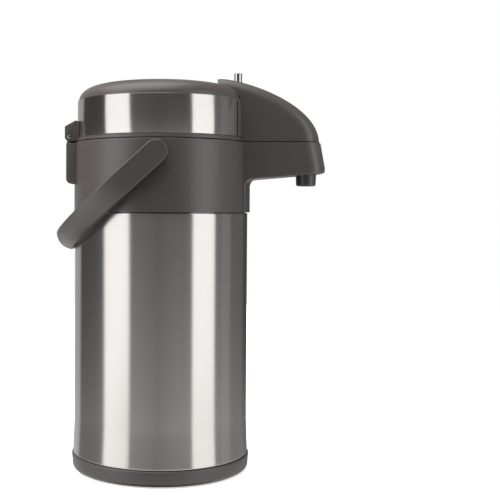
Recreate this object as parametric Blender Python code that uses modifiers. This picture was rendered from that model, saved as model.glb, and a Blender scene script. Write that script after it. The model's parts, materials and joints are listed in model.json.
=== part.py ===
# Thermal airpot: a steel vacuum flask with a plastic collar, a hinged pump lid, a nose and a bail handle.
# Units are metres. +Z is up, the nose points along +X, the hinge is at -X, the origin is under the pad.

import math

import bmesh
import bpy
from mathutils import Matrix, Vector

# Fits between neighbouring pieces
touch_gap = 0.0003
run_gap = 0.0008
lid_gap = 0.0007
lean_gap = 0.0006

# Facets of the turned pieces
large_facets = 40
middle_facets = 24
round_facets = 16
small_facets = 12
screw_facets = 8

# Foot pad and base
pad_inset = 0.0196
pad_thickness = 0.0022
base_overhang = 0.0016
base_height = 0.015
base_lift = 0.0006
base_fillet = 0.005
base_wall = 0.003
base_floor = 0.0025
base_rim_width = 0.004
base_post_radius = 0.0045
base_screw_inset = 0.0151

# Steel flask
steel_wall = 0.0008
shell_radius = 0.0820
shell_waist_draw = 0.0010
shell_waist_height = 0.075
shell_foot_flare = 0.0009
shell_flange = 0.006
shell_ledge = 0.0028
shell_edge_round = 0.0015
shoulder_height = 0.0090
shoulder_rise = 0.024
neck_bore = 0.0382
neck_step = 0.0005
vacuum_gap = 0.0112
liner_floor_height = 0.030
liner_corner = 0.014
liner_shoulder_drop = 0.014
liner_shoulder_rise = 0.024

# Collar and mouth
collar_overhang = 0.0007
collar_flare = 0.0003
collar_wall = 0.003
collar_bottom = 0.2415
collar_height = 0.0651
collar_edge = 0.0008
deck_drop = 0.0196
deck_thickness = 0.003
deck_clearance = 0.0019
mouth_wall = 0.0075
mouth_height = 0.0172
mouth_flange_width = 0.010
mouth_flange_thickness = 0.0025
mouth_screw_inset = 0.0045

# Nose, in side view: the ridge on the lid, the fall of its top to the split, and the lower half
nose_half_width = 0.030
nose_wall = 0.0027
nose_front_round = 0.022
nose_front_power = 2.2
nose_top_round = 0.010
ridge_clearance = 0.0013
ridge_length = 0.0023
ridge_rise = 0.0041
ridge_edge = 0.0012
nose_reach = 0.0673
nose_fall_start = Vector((0.0112, 0.0018))
nose_fall_end = Vector((-0.0054, 0.0437))
nose_chin_proud = 0.0044
nose_chin_drop = 0.0230
nose_chin_round = 0.0020
nose_root_reach = 0.0080
nose_root_drop = 0.0336
nose_slope = 0.088
nose_root_fillet = 0.0075
pad_proud = 0.0016
nose_notch_depth = 0.0031
nose_stations = 10
nose_steps = 9

# Tubes that carry the coffee
dip_radius = 0.0046
dip_wall = 0.001
dip_clearance = 0.006
pipe_radius = 0.0055
pipe_bore = 0.004
pipe_rise = 0.0090
pipe_bend = 0.010
head_radius = 0.0095
head_depth = 0.0155
head_cover = 0.0073
head_bar_width = 0.010
head_bar_thickness = 0.003
grommet_wall = 0.0015
nozzle_setback = 0.0127
nozzle_radius = 0.0098
nozzle_taper = 0.0006
nozzle_bevel = 0.0012
nozzle_bore = 0.0050
nozzle_length = 0.0147
nozzle_flange_radius = 0.012
nozzle_flange_drop = 0.0254
nozzle_flange_thickness = 0.0024
nozzle_socket_wall = 0.0024
nozzle_socket_height = 0.0025

# Lid
rim_inset = 0.0012
rim_height = 0.0034
rim_step = 0.0007
lid_floor_step = 0.0011
lid_floor_thickness = 0.0025
lid_ring_wall = 0.0022
lid_ring_height = 0.0077
gasket_width = 0.0083
gasket_rib = 0.002
gasket_rib_depth = 0.0035
band_inset = 0.0016
band_thickness = 0.0005
band_height = 0.0348
band_end = 0.0362
strip_inset = 0.0002
strip_slope = 0.004
cover_wall = 0.0026
dome_edge_step = 0.0003
dome_shoulder_in = 0.0029
dome_shoulder_rise = 0.0134
dome_steps = 5
lid_post_radius = 0.004
lid_post_rise = 0.0107
lid_screw_inset = 0.0139
valve_radius = 0.014
valve_thickness = 0.0014
valve_stem = 0.0022
valve_bulb = 0.0036
valve_bulb_height = 0.0034

# Hinge
pin_reach = 0.0019
pin_rise = 0.0046
pin_radius = 0.002
knuckle_radius = 0.0042
knuckle_half_width = 0.0152
hinge_half_width = 0.0285
ear_height = 0.0152
ear_back_height = 0.0098
ear_peak = 0.0057
ear_depth = 0.0106
hinge_block_reach = 0.0048
hinge_block_root = 0.0057
hinge_block_drop = 0.0011
hinge_block_height = 0.0381
hinge_block_round = 0.005

# Pump
button_inset = 0.0279
button_rise = 0.0155
button_crown_rise = 0.0036
button_wall = 0.002
button_plate = 0.0042
button_flange = 0.0018
button_flange_thickness = 0.0024
guide_wall = 0.0024
guide_depth = 0.0158
bellows_radius = 0.040
bellows_fold = 0.006
bellows_wall = 0.0012
bellows_folds = 5
spring_radius = 0.022
spring_wire = 0.0011
spring_turns = 6
spring_points = 8

# Lock
lock_setback = 0.0194
lock_radius = 0.00375
lock_rise = 0.0083
lock_dome = 0.0008
lock_travel = 0.006
lock_plate_back = 0.0055
lock_plate_front = 0.0035
lock_plate_half_width = 0.007
lock_plate_thickness = 0.0025
lock_plate_drop = 0.0035
lock_tongue = 0.003
lock_tongue_depth = 0.0055
lock_tongue_half_width = 0.004

# Handle
pivot_drop = 0.0122
handle_rest = math.radians(43.4)
arm_clearance = 0.0015
strap_thickness = 0.0056
strap_width = 0.021
strap_edge = 0.0012
bow_edge = 0.0027
bow_crown = 0.0014
arm_straight = 0.030
bow_lift = 0.004
bow_stations = 36
pivot_radius = 0.004
pivot_head_radius = 0.006
pivot_head_thickness = 0.0022
pivot_depth = 0.0026
washer_radius = 0.009

# Screws
screw_radius = 0.0015
screw_head_radius = 0.003
base_head_height = 0.0012
deck_head_height = 0.0019
base_screw_reach = 0.003
mouth_screw_reach = 0.004
lid_screw_reach = 0.008

# Heights worked out from the collar's foot upwards
base_floor_bottom = pad_thickness + touch_gap
shell_bottom_height = base_height + touch_gap
ledge_height = collar_bottom - touch_gap
collar_top = collar_bottom + collar_height
deck_top = collar_top - deck_drop
neck_top = deck_top - deck_thickness - neck_step
mouth_bottom = deck_top + touch_gap
mouth_top = mouth_bottom + mouth_height
pipe_height = deck_top + pipe_rise
nose_chin_height = collar_top - nose_chin_drop
nose_root_height = collar_top - nose_root_drop
nozzle_flange_height = collar_top - nozzle_flange_drop
nozzle_bottom = nozzle_flange_height - nozzle_length
nozzle_socket_top = nozzle_flange_height + nozzle_flange_thickness + nozzle_socket_height
pivot_height = collar_top - pivot_drop
pin_height = collar_top + pin_rise
hinge_block_top = collar_top - hinge_block_drop
hinge_block_bottom = hinge_block_top - hinge_block_height
rim_bottom = collar_top + lid_gap
rim_top = rim_bottom + rim_height
lid_floor_height = rim_bottom + lid_floor_step
lid_floor_top = lid_floor_height + lid_floor_thickness
lid_ring_top = rim_top + lid_ring_height
cover_bottom = rim_top + touch_gap
band_bottom = cover_bottom + touch_gap
band_top = band_bottom + band_height
dome_edge = band_top + touch_gap
dome_shoulder_height = band_top + dome_shoulder_rise
lid_post_top = band_top + lid_post_rise
button_edge = band_top + button_rise
button_crown = button_edge + button_crown_rise
guide_bottom = button_edge - guide_depth
plate_under = button_edge - button_plate
ridge_height = button_edge + ridge_rise
lock_top = ridge_height + lock_rise

# Radii and places worked out from the shell's radius
base_radius = shell_radius + base_overhang
pad_radius = base_radius - pad_inset
base_screw_circle = base_radius - base_screw_inset
shell_waist_radius = shell_radius - shell_waist_draw
shell_foot_radius = shell_radius + shell_foot_flare
shell_hole = shell_foot_radius - shell_flange
step_radius = shell_radius - shell_ledge
liner_radius = shell_radius - steel_wall - vacuum_gap
neck_liner_radius = neck_bore + steel_wall
neck_shell_bore = neck_liner_radius + touch_gap
neck_radius = neck_shell_bore + steel_wall
deck_hole = neck_radius + deck_clearance
collar_radius = shell_radius + collar_overhang
mouth_bore = neck_bore + touch_gap
mouth_radius = mouth_bore + mouth_wall
mouth_flange_radius = mouth_radius + mouth_flange_width
mouth_screw_circle = mouth_flange_radius - mouth_screw_inset
rim_radius = collar_radius - rim_inset
band_radius = rim_radius - band_inset
cover_radius = band_radius - band_thickness - touch_gap
cover_bore = cover_radius - cover_wall
lid_ring_radius = cover_bore - touch_gap
lid_screw_circle = band_radius - lid_screw_inset
button_radius = band_radius - button_inset
guide_bore = button_radius + run_gap
guide_radius = guide_bore + guide_wall
ridge_start = button_radius + ridge_clearance
ridge_end = ridge_start + ridge_length
lock_place = ridge_start + lock_setback
nose_notch = cover_bore - nose_notch_depth
nose_root = collar_radius + nose_root_reach
nose_tip = collar_radius + nose_reach
nose_chin = nose_tip + nose_chin_proud
nozzle_place = nose_tip - nozzle_setback
pin_place = collar_radius + pin_reach
hinge_block_back = collar_radius + hinge_block_reach
hinge_block_inside = collar_radius - hinge_block_root
arm_inside = collar_radius + arm_clearance
grommet_radius = pipe_radius + touch_gap + grommet_wall
screw_hole = screw_radius + touch_gap
third_turn = math.tau / 3
screw_angles = [third_turn / 2 + third_turn * index for index in range(3)]
bow_low_edge = strap_width / 2 - bow_lift
bow_inside = (shell_radius + lean_gap + bow_low_edge * math.sin(handle_rest)) / math.cos(handle_rest)
strap_middle = arm_inside + strap_thickness / 2
bow_middle = bow_inside + strap_thickness / 2


# Scene and collections
def clear_scene():
    for item in list(bpy.data.objects):
        bpy.data.objects.remove(item, do_unlink=True)


def new_collection(name):
    collection = bpy.data.collections.new(name)
    bpy.context.scene.collection.children.link(collection)
    return collection


clear_scene()
parts = new_collection("thermal_airpot")
helpers = new_collection("thermal_airpot_cutters")


# Materials
def new_material(name, colour, roughness, metallic):
    material = bpy.data.materials.new(name)
    material.use_nodes = True
    shader = material.node_tree.nodes["Principled BSDF"]
    shader.inputs["Base Color"].default_value = (*colour, 1.0)
    shader.inputs["Roughness"].default_value = roughness
    shader.inputs["Metallic"].default_value = metallic
    material.diffuse_color = (*colour, 1.0)
    return material


# The looks that several sub-parts have in common: colour, roughness, metallic
looks = {
    "brushed": ((0.55, 0.54, 0.52), 0.28, 1.0),
    "bright": ((0.70, 0.69, 0.67), 0.15, 1.0),
    "grey": ((0.085, 0.080, 0.079), 0.45, 0.0),
    "black": ((0.016, 0.016, 0.016), 0.40, 0.0),
    "rubber": ((0.030, 0.030, 0.030), 0.80, 0.0),
    "silicone": ((0.62, 0.60, 0.57), 0.60, 0.0),
}


# Builders of simple solids
def add_object(name, data, look):
    item = bpy.data.objects.new(name, data)
    if look is None:
        helpers.objects.link(item)
        item.hide_render = True
        item.display_type = "WIRE"
    else:
        parts.objects.link(item)
        data.materials.append(new_material(name + "_material", *looks[look]))
    return item


def turned(name, profile, look=None, facets=large_facets, closed=True, place=(0.0, 0.0, 0.0)):
    # The profile is a list of radius and height that runs down the outer side
    mesh = bpy.data.meshes.new(name)
    corners = [(radius, 0.0, height) for radius, height in profile]
    edges = [(index, index + 1) for index in range(len(corners) - 1)]
    if closed:
        edges.append((len(corners) - 1, 0))
    mesh.from_pydata(corners, edges, [])
    item = add_object(name, mesh, look)
    item.location = place
    screw = item.modifiers.new("Turn", "SCREW")
    screw.axis = "Z"
    screw.angle = math.tau
    screw.steps = facets
    screw.render_steps = facets
    screw.use_merge_vertices = True
    screw.merge_threshold = 0.00001
    return item


def finish_mesh(name, shape, look):
    bmesh.ops.recalc_face_normals(shape, faces=shape.faces)
    mesh = bpy.data.meshes.new(name)
    shape.to_mesh(mesh)
    shape.free()
    return add_object(name, mesh, look)


def rod(name, radius, start, end, look=None, facets=small_facets):
    start = Vector(start)
    end = Vector(end)
    along = end - start
    shape = bmesh.new()
    turn = along.to_track_quat("Z", "Y").to_matrix().to_4x4()
    bmesh.ops.create_cone(
        shape, cap_ends=True, segments=facets, radius1=radius, radius2=radius, depth=along.length,
        matrix=Matrix.Translation((start + end) / 2) @ turn)
    return finish_mesh(name, shape, look)


def box(name, low, high, look=None):
    low = Vector(low)
    high = Vector(high)
    shape = bmesh.new()
    size = Matrix.Diagonal((*(high - low), 1.0))
    bmesh.ops.create_cube(shape, size=1.0, matrix=Matrix.Translation((low + high) / 2) @ size)
    return finish_mesh(name, shape, look)


def loft(name, sections, look=None):
    # Rings of equal count, joined side to side and capped at both ends
    shape = bmesh.new()
    rings = [[shape.verts.new(corner) for corner in section] for section in sections]
    count = len(rings[0])
    for ring, following in zip(rings, rings[1:]):
        for index in range(count):
            after = (index + 1) % count
            shape.faces.new((ring[index], ring[after], following[after], following[index]))
    shape.faces.new(rings[0])
    shape.faces.new(rings[-1])
    return finish_mesh(name, shape, look)


def mesh_from_curve(curve_item):
    # The curve becomes a mesh, with its loose caps welded on
    bpy.context.view_layer.update()
    evaluated = curve_item.evaluated_get(bpy.context.evaluated_depsgraph_get())
    mesh = bpy.data.meshes.new_from_object(evaluated)
    mesh.transform(curve_item.matrix_world)
    bpy.data.objects.remove(curve_item, do_unlink=True)
    mesh.materials.clear()
    shape = bmesh.new()
    shape.from_mesh(mesh)
    bmesh.ops.remove_doubles(shape, verts=shape.verts, dist=0.000001)
    bpy.data.meshes.remove(mesh)
    return shape


def plate(name, outline, half_width, look=None):
    # A flat outline of X and Z, thick along Y
    curve = bpy.data.curves.new(name, "CURVE")
    curve.dimensions = "2D"
    curve.fill_mode = "BOTH"
    curve.extrude = half_width
    spline = curve.splines.new("POLY")
    spline.points.add(len(outline) - 1)
    for point, (across, height) in zip(spline.points, outline):
        point.co = (across, height, 0.0, 1.0)
    spline.use_cyclic_u = True
    item = add_object(name + "_outline", curve, None)
    item.rotation_euler = (math.pi / 2, 0.0, 0.0)
    return finish_mesh(name, mesh_from_curve(item), look)


def tube(name, points, radius, look=None, roundness=2):
    curve = bpy.data.curves.new(name, "CURVE")
    curve.dimensions = "3D"
    curve.bevel_depth = radius
    curve.bevel_resolution = roundness
    curve.use_fill_caps = True
    spline = curve.splines.new("POLY")
    spline.points.add(len(points) - 1)
    for point, place in zip(spline.points, points):
        point.co = (*place, 1.0)
    item = add_object(name + "_path", curve, None)
    return finish_mesh(name, mesh_from_curve(item), look)


def combine(target, other, operation):
    change = target.modifiers.new(other.name, "BOOLEAN")
    change.operation = operation
    change.object = other
    change.solver = "EXACT"


def join(target, *others):
    for other in others:
        combine(target, other, "UNION")


def cut(target, *others):
    for other in others:
        combine(target, other, "DIFFERENCE")


def arc(centre, radius, start, end, steps):
    # Points on an arc, with the angles in degrees from the first axis to the second
    angles = [math.radians(start + (end - start) * step / steps) for step in range(steps + 1)]
    middle = Vector(centre)
    return [tuple(middle + radius * Vector((math.cos(angle), math.sin(angle)))) for angle in angles]


def around(circle, angle, height):
    return Vector((circle * math.cos(angle), circle * math.sin(angle), height))


def bezier(start, first, second, end, steps):
    points = []
    for step in range(steps + 1):
        share = step / steps
        rest = 1.0 - share
        ends = rest**3 * start + share**3 * end
        points.append(ends + 3 * rest**2 * share * first + 3 * rest * share**2 * second)
    return points


def screw(name, seat, tip, head_height, look="bright"):
    # The head lies against the seat, on the side away from the tip
    seat = Vector(seat)
    tip = Vector(tip)
    outward = (seat - tip).normalized()
    body = rod(name, screw_radius, seat + outward * head_height / 2, tip, look, screw_facets)
    head = rod(name + "_head", screw_head_radius, seat, seat + outward * head_height, None, screw_facets)
    join(body, head)
    return body


# Foot pad and base
def make_foot_pad():
    edge = base_lift
    profile = [(0.0, pad_thickness), (pad_radius, pad_thickness), (pad_radius, edge)]
    profile += [(pad_radius - edge, 0.0), (0.0, 0.0)]
    return turned("foot_pad", profile, "rubber", closed=False)


def make_base_cup():
    floor_top = base_floor_bottom + base_floor
    rim_inside = base_radius - base_fillet - base_rim_width
    fillet_centre = (base_radius - base_fillet, base_lift + base_fillet)
    inside = base_radius - base_wall
    profile = [(0.0, floor_top), (inside, floor_top), (inside, base_height), (base_radius, base_height)]
    profile += arc(fillet_centre, base_fillet, 0, -90, 3)
    profile += [(rim_inside, base_lift), (rim_inside, base_floor_bottom), (0.0, base_floor_bottom)]
    cup = turned("base_cup", profile, "grey", closed=False)
    for index, angle in enumerate(screw_angles):
        foot = around(base_screw_circle, angle, floor_top - base_floor / 2)
        head = around(base_screw_circle, angle, base_height)
        join(cup, rod(f"base_post_{index + 1}", base_post_radius, foot, head))
    for index, angle in enumerate(screw_angles):
        below = around(base_screw_circle, angle, -base_height)
        above = around(base_screw_circle, angle, 2 * base_height)
        cut(cup, rod(f"base_hole_{index + 1}", screw_hole, below, above, None, screw_facets))
    return cup


def make_base_screws():
    for index, angle in enumerate(screw_angles):
        seat = around(base_screw_circle, angle, base_floor_bottom - touch_gap)
        tip = around(base_screw_circle, angle, shell_bottom_height + steel_wall + base_screw_reach)
        screw(f"base_screw_{index + 1}", seat, tip, base_head_height)


# Steel flask
def shoulder(radius, neck, start, rise, steps=4):
    # A quarter of an ellipse from the neck out to the wall, listed downwards
    points = []
    for step in range(steps + 1):
        angle = math.pi / 2 * (1 - step / steps)
        points.append((neck + (radius - neck) * math.cos(angle), start + rise * math.sin(angle)))
    return points


def shell_side(inset):
    # The slightly drawn-in wall: the radius grows with the square of the distance from the waist
    top = ledge_height - shell_edge_round
    foot = shell_bottom_height + inset
    points = []
    for share in (0.5, 0.0):
        height = shell_waist_height + (top - shell_waist_height) * share
        points.append((shell_waist_radius + (shell_radius - shell_waist_radius) * share**2 - inset, height))
    flare = shell_foot_radius - shell_waist_radius
    for share in (0.6, 1.0):
        height = shell_waist_height + (foot - shell_waist_height) * share
        points.append((shell_waist_radius + flare * share**2 - inset, height))
    return points


def make_outer_shell():
    start = ledge_height + shoulder_height
    outside = [(neck_radius, neck_top)]
    outside += shoulder(step_radius, neck_radius, start, shoulder_rise)
    outside += [(step_radius, ledge_height)]
    edge_centre = (shell_radius - shell_edge_round, ledge_height - shell_edge_round)
    outside += arc(edge_centre, shell_edge_round, 90, 0, 2)
    outside += shell_side(0.0)
    inside = [(shell_hole, shell_bottom_height), (shell_hole, shell_bottom_height + steel_wall)]
    inside += shell_side(steel_wall)[::-1]
    inside += [(shell_radius - steel_wall, ledge_height - shell_edge_round)]
    inside += [(step_radius - steel_wall, ledge_height - steel_wall)]
    inner = shoulder(step_radius - steel_wall, neck_shell_bore, start, shoulder_rise - steel_wall)
    inside += inner[::-1]
    inside += [(neck_shell_bore, neck_top)]
    return turned("outer_shell", outside + inside, "brushed")


def make_shell_bottom():
    low = shell_bottom_height
    high = low + steel_wall
    edge = shell_hole - touch_gap
    profile = [(0.0, high), (edge, high), (edge, low), (0.0, low)]
    disc = turned("shell_bottom", profile, "brushed", closed=False)
    for index, angle in enumerate(screw_angles):
        below = around(base_screw_circle, angle, low - base_height)
        above = around(base_screw_circle, angle, high + base_height)
        cut(disc, rod(f"shell_hole_{index + 1}", screw_hole, below, above, None, screw_facets))
    return disc


def liner_side(radius, neck, floor, corner, start, rise):
    side = [(neck, neck_top)]
    side += shoulder(radius, neck, start, rise)
    side += arc((radius - corner, floor + corner), corner, 0, -90, 4)
    side += [(0.0, floor)]
    return side


def make_inner_liner():
    start = ledge_height + shoulder_height - liner_shoulder_drop
    outside = liner_side(
        liner_radius, neck_liner_radius, liner_floor_height, liner_corner, start, liner_shoulder_rise)
    inside = liner_side(
        liner_radius - steel_wall, neck_bore, liner_floor_height + steel_wall, liner_corner - steel_wall,
        start, liner_shoulder_rise - steel_wall)
    return turned("inner_liner", inside[::-1] + outside, "brushed", middle_facets, closed=False)


def make_neck_gasket():
    low = neck_top + touch_gap
    edge = deck_hole - touch_gap
    profile = [(neck_bore, deck_top), (edge, deck_top), (edge, low), (neck_bore, low)]
    return turned("neck_gasket", profile, "silicone", middle_facets)


# Shapes of the nose, cut into side sections from one flank to the other
def nose_rows(half_width):
    steps = range(nose_stations + 1)
    return [-half_width * math.cos(math.pi * step / nose_stations) for step in steps]


def front_pull(across, half_width):
    # How far the rounded front lies back from its tip, at a distance from the middle
    share = min(abs(across) / half_width, 1.0)
    return nose_front_round * (1 - (1 - share**nose_front_power) ** (1 / nose_front_power))


def edge_drop(across, half_width):
    # How far the rounded top edge lies below the ridge
    past = max(abs(across) - (half_width - nose_top_round), 0.0)
    return nose_top_round - math.sqrt(max(nose_top_round**2 - past**2, 0.0))


def upper_nose(name, inset):
    half_width = nose_half_width - inset
    split = rim_bottom - (run_gap + inset if inset else 0.0)
    back = ridge_start + inset
    lower_back = cover_radius + touch_gap if inset else nose_notch + touch_gap
    shelf = guide_bottom - inset if inset else dome_edge + cover_wall
    fall = bezier(
        Vector((ridge_end, ridge_height)), Vector((ridge_end, ridge_height)) + nose_fall_start,
        Vector((nose_tip, rim_bottom)) + nose_fall_end, Vector((nose_tip, rim_bottom)), nose_steps)
    sections = []
    for across in nose_rows(half_width):
        pull = front_pull(across, half_width)
        drop = edge_drop(across, half_width)
        length = nose_tip - ridge_end - 2 * inset
        section = [(back, shelf), (back, ridge_height - inset - ridge_edge - drop)]
        section += [(back + ridge_edge, ridge_height - inset - drop)]
        for point in fall:
            share = (point.x - ridge_end) / (nose_tip - ridge_end)
            along = ridge_end + inset + share * (length - pull)
            above = (point.y - rim_bottom) / (ridge_height - rim_bottom)
            height = rim_bottom + above * (ridge_height - inset - drop - rim_bottom)
            section.append((along, height))
        section[-1] = (section[-1][0], split)
        section += [(lower_back, split), (lower_back, shelf)]
        sections.append([(along, across, height) for along, height in section])
    return loft(name, sections)


def cylinder_place(radius, across):
    return math.sqrt(radius**2 - across**2)


def under_height(along):
    return nose_root_height + nose_slope * (along - nose_root)


def lower_nose_outer(name):
    sections = []
    pad_radius_front = collar_radius + pad_proud
    for across in nose_rows(nose_half_width):
        pull = front_pull(across, nose_half_width)
        inside = cylinder_place(collar_radius - collar_wall / 2, across)
        pad = cylinder_place(pad_radius_front, across)
        chin = nose_chin - pull
        under = under_height(chin - nose_chin_round)
        root_centre = (pad + nose_root_fillet, under_height(pad + nose_root_fillet) - nose_root_fillet)
        section = [(inside, collar_top), (nose_tip + run_gap - pull, collar_top), (chin, nose_chin_height)]
        section += arc((chin - nose_chin_round, under + nose_chin_round), nose_chin_round, 0, -90, 3)
        section += arc(root_centre, nose_root_fillet, 90, 180, 3)
        section += [(pad, collar_bottom), (inside, collar_bottom)]
        sections.append([(along, across, height) for along, height in section])
    return loft(name, sections)


def lower_nose_inner(name):
    half_width = nose_half_width - nose_wall
    sections = []
    for across in nose_rows(half_width):
        pull = front_pull(across, half_width)
        back = cover_bore - collar_wall
        chin = nose_chin - nose_wall - pull
        tip = nose_tip + run_gap - nose_wall - pull
        section = [(back, collar_top + nose_wall), (tip, collar_top + nose_wall)]
        section += [(chin, nose_chin_height), (chin, under_height(chin) + nose_wall)]
        section += [(back, under_height(nose_root) + nose_wall)]
        sections.append([(along, across, height) for along, height in section])
    return loft(name, sections)


# Collar
def make_collar():
    inside = collar_radius - collar_wall
    deck_bottom = deck_top - deck_thickness
    profile = [(inside, collar_top), (collar_radius - collar_edge, collar_top)]
    profile += [(collar_radius, collar_top - collar_edge)]
    profile += [(collar_radius, collar_bottom + collar_wall), (collar_radius + collar_flare, collar_bottom)]
    profile += [(inside, collar_bottom), (inside, deck_bottom), (deck_hole, deck_bottom)]
    profile += [(deck_hole, deck_top), (inside, deck_top)]
    collar = turned("collar", profile, "grey")
    side = Vector((0.0, 2 * collar_radius, 0.0))
    pivot = Vector((0.0, 0.0, pivot_height))
    cut(collar, rod("pivot_hole", pivot_radius + touch_gap, pivot - side, pivot + side))
    join(collar, lower_nose_outer("lower_nose_form"), make_hinge_block())
    join(collar, make_knuckle_web(), make_knuckle())
    cut(collar, lower_nose_inner("lower_nose_hollow"))
    under = Vector((nozzle_place, 0.0, collar_bottom))
    above = Vector((nozzle_place, 0.0, nozzle_flange_height))
    cut(collar, rod("nozzle_hole", nozzle_radius + touch_gap, under, above, None, round_facets))
    cut(collar, rod("knuckle_hole", pin_radius + touch_gap, pin_centre() - side, pin_centre() + side))
    for index, angle in enumerate(screw_angles):
        below = around(mouth_screw_circle, angle, deck_bottom - deck_thickness)
        above = around(mouth_screw_circle, angle, deck_top + deck_thickness)
        cut(collar, rod(f"deck_hole_{index + 1}", screw_hole, below, above, None, screw_facets))
    return collar


def pin_centre():
    return Vector((-pin_place, 0.0, pin_height))


def make_hinge_block():
    corner = (-hinge_block_back + hinge_block_round, hinge_block_bottom + hinge_block_round)
    outline = [(-hinge_block_inside, hinge_block_top), (-hinge_block_back, hinge_block_top)]
    outline += arc(corner, hinge_block_round, 180, 270, 4)
    outline += [(-hinge_block_inside, hinge_block_bottom)]
    return plate("hinge_block_form", outline, hinge_half_width)


def make_knuckle_web():
    low = (-pin_place - knuckle_radius, -knuckle_half_width, hinge_block_top - knuckle_radius)
    high = (-pin_place + knuckle_radius, knuckle_half_width, pin_height)
    return box("knuckle_web_form", low, high)


def make_knuckle():
    half = Vector((0.0, knuckle_half_width, 0.0))
    return rod("knuckle_form", knuckle_radius, pin_centre() - half, pin_centre() + half)


def make_hinge_pin():
    half = Vector((0.0, hinge_half_width, 0.0))
    return rod("hinge_pin", pin_radius, pin_centre() - half, pin_centre() + half, "bright")


# Mouth and the tubes in it
def make_mouth_ring():
    flange = mouth_flange_radius
    flange_top = mouth_bottom + mouth_flange_thickness
    profile = [(mouth_bore, mouth_top), (mouth_radius, mouth_top), (mouth_radius, flange_top)]
    profile += [(flange, flange_top), (flange, mouth_bottom), (mouth_bore, mouth_bottom)]
    ring = turned("mouth_ring", profile, "black", middle_facets)
    centre = Vector((0.0, 0.0, pipe_height))
    reach = Vector((2 * mouth_radius, 0.0, 0.0))
    cut(ring, rod("mouth_pipe_hole", grommet_radius + touch_gap, centre, centre + reach))
    for index, angle in enumerate(screw_angles):
        below = around(mouth_screw_circle, angle, mouth_bottom - mouth_wall)
        above = around(mouth_screw_circle, angle, flange_top + mouth_wall)
        cut(ring, rod(f"mouth_hole_{index + 1}", screw_hole, below, above, None, screw_facets))
    return ring


def make_mouth_screws():
    for index, angle in enumerate(screw_angles):
        seat = around(mouth_screw_circle, angle, mouth_bottom + mouth_flange_thickness + touch_gap)
        tip = around(mouth_screw_circle, angle, deck_top - deck_thickness - mouth_screw_reach)
        screw(f"mouth_screw_{index + 1}", seat, tip, deck_head_height)


def make_dip_tube():
    top = pipe_height - pipe_radius - touch_gap - steel_wall
    low = liner_floor_height + steel_wall + dip_clearance
    bore = dip_radius - dip_wall
    profile = [(bore, top), (dip_radius, top), (dip_radius, low), (bore, low)]
    return turned("dip_tube", profile, "bright", small_facets)


def make_tube_head():
    low = Vector((0.0, 0.0, pipe_height - head_depth))
    high = Vector((0.0, 0.0, pipe_height + head_cover))
    middle = Vector((0.0, 0.0, pipe_height))
    head = rod("tube_head", head_radius, low, high, "black", round_facets)
    half = head_bar_width / 2
    bar_low = mouth_bottom + touch_gap
    bar_end = (-mouth_bore + run_gap, -half, bar_low)
    join(head, box("tube_bar_form", bar_end, (0.0, half, bar_low + head_bar_thickness)))
    cut(head, rod("tube_head_bore", dip_radius + touch_gap, low - middle, middle))
    side = middle + Vector((2 * head_radius, 0.0, 0.0))
    cut(head, rod("tube_head_side", pipe_radius + touch_gap, middle, side))
    return head


def make_spout_pipe():
    start = dip_radius
    centre = (nozzle_place - pipe_bend, pipe_height - pipe_bend)
    end_height = nozzle_flange_height + nozzle_flange_thickness + 3 * touch_gap
    route = [(start, pipe_height)] + arc(centre, pipe_bend, 90, 0, 5) + [(nozzle_place, end_height)]
    path = [Vector((along, 0.0, height)) for along, height in route]
    pipe = tube("spout_pipe", path, pipe_radius, "bright")
    before = path[0] - Vector((pipe_radius, 0.0, 0.0))
    below = path[-1] - Vector((0.0, 0.0, pipe_radius))
    bore_path = [before] + path[1:-1] + [below]
    cut(pipe, tube("spout_pipe_bore", bore_path, pipe_bore, None, 1))
    return pipe


def make_pipe_grommet():
    half = mouth_wall / 2 + touch_gap
    bore = pipe_radius + touch_gap
    profile = [(bore, half), (grommet_radius, half), (grommet_radius, -half), (bore, -half)]
    place = (mouth_bore + mouth_wall / 2, 0.0, pipe_height)
    grommet = turned("pipe_grommet", profile, "rubber", small_facets, place=place)
    grommet.rotation_euler = (0.0, math.pi / 2, 0.0)
    return grommet


def make_nozzle():
    socket = pipe_radius + touch_gap
    flange_top = nozzle_flange_height + nozzle_flange_thickness
    tip = nozzle_radius - nozzle_taper
    profile = [(socket, nozzle_socket_top), (socket + nozzle_socket_wall, nozzle_socket_top)]
    profile += [(socket + nozzle_socket_wall, flange_top), (nozzle_flange_radius, flange_top)]
    profile += [(nozzle_flange_radius, nozzle_flange_height), (nozzle_radius, nozzle_flange_height)]
    profile += [(tip, nozzle_bottom + nozzle_bevel), (tip - nozzle_bevel, nozzle_bottom)]
    profile += [(nozzle_bore, nozzle_bottom)]
    profile += [(nozzle_bore, flange_top + touch_gap), (socket, flange_top + touch_gap)]
    return turned("nozzle", profile, "black", round_facets, place=(nozzle_place, 0.0, 0.0))


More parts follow.
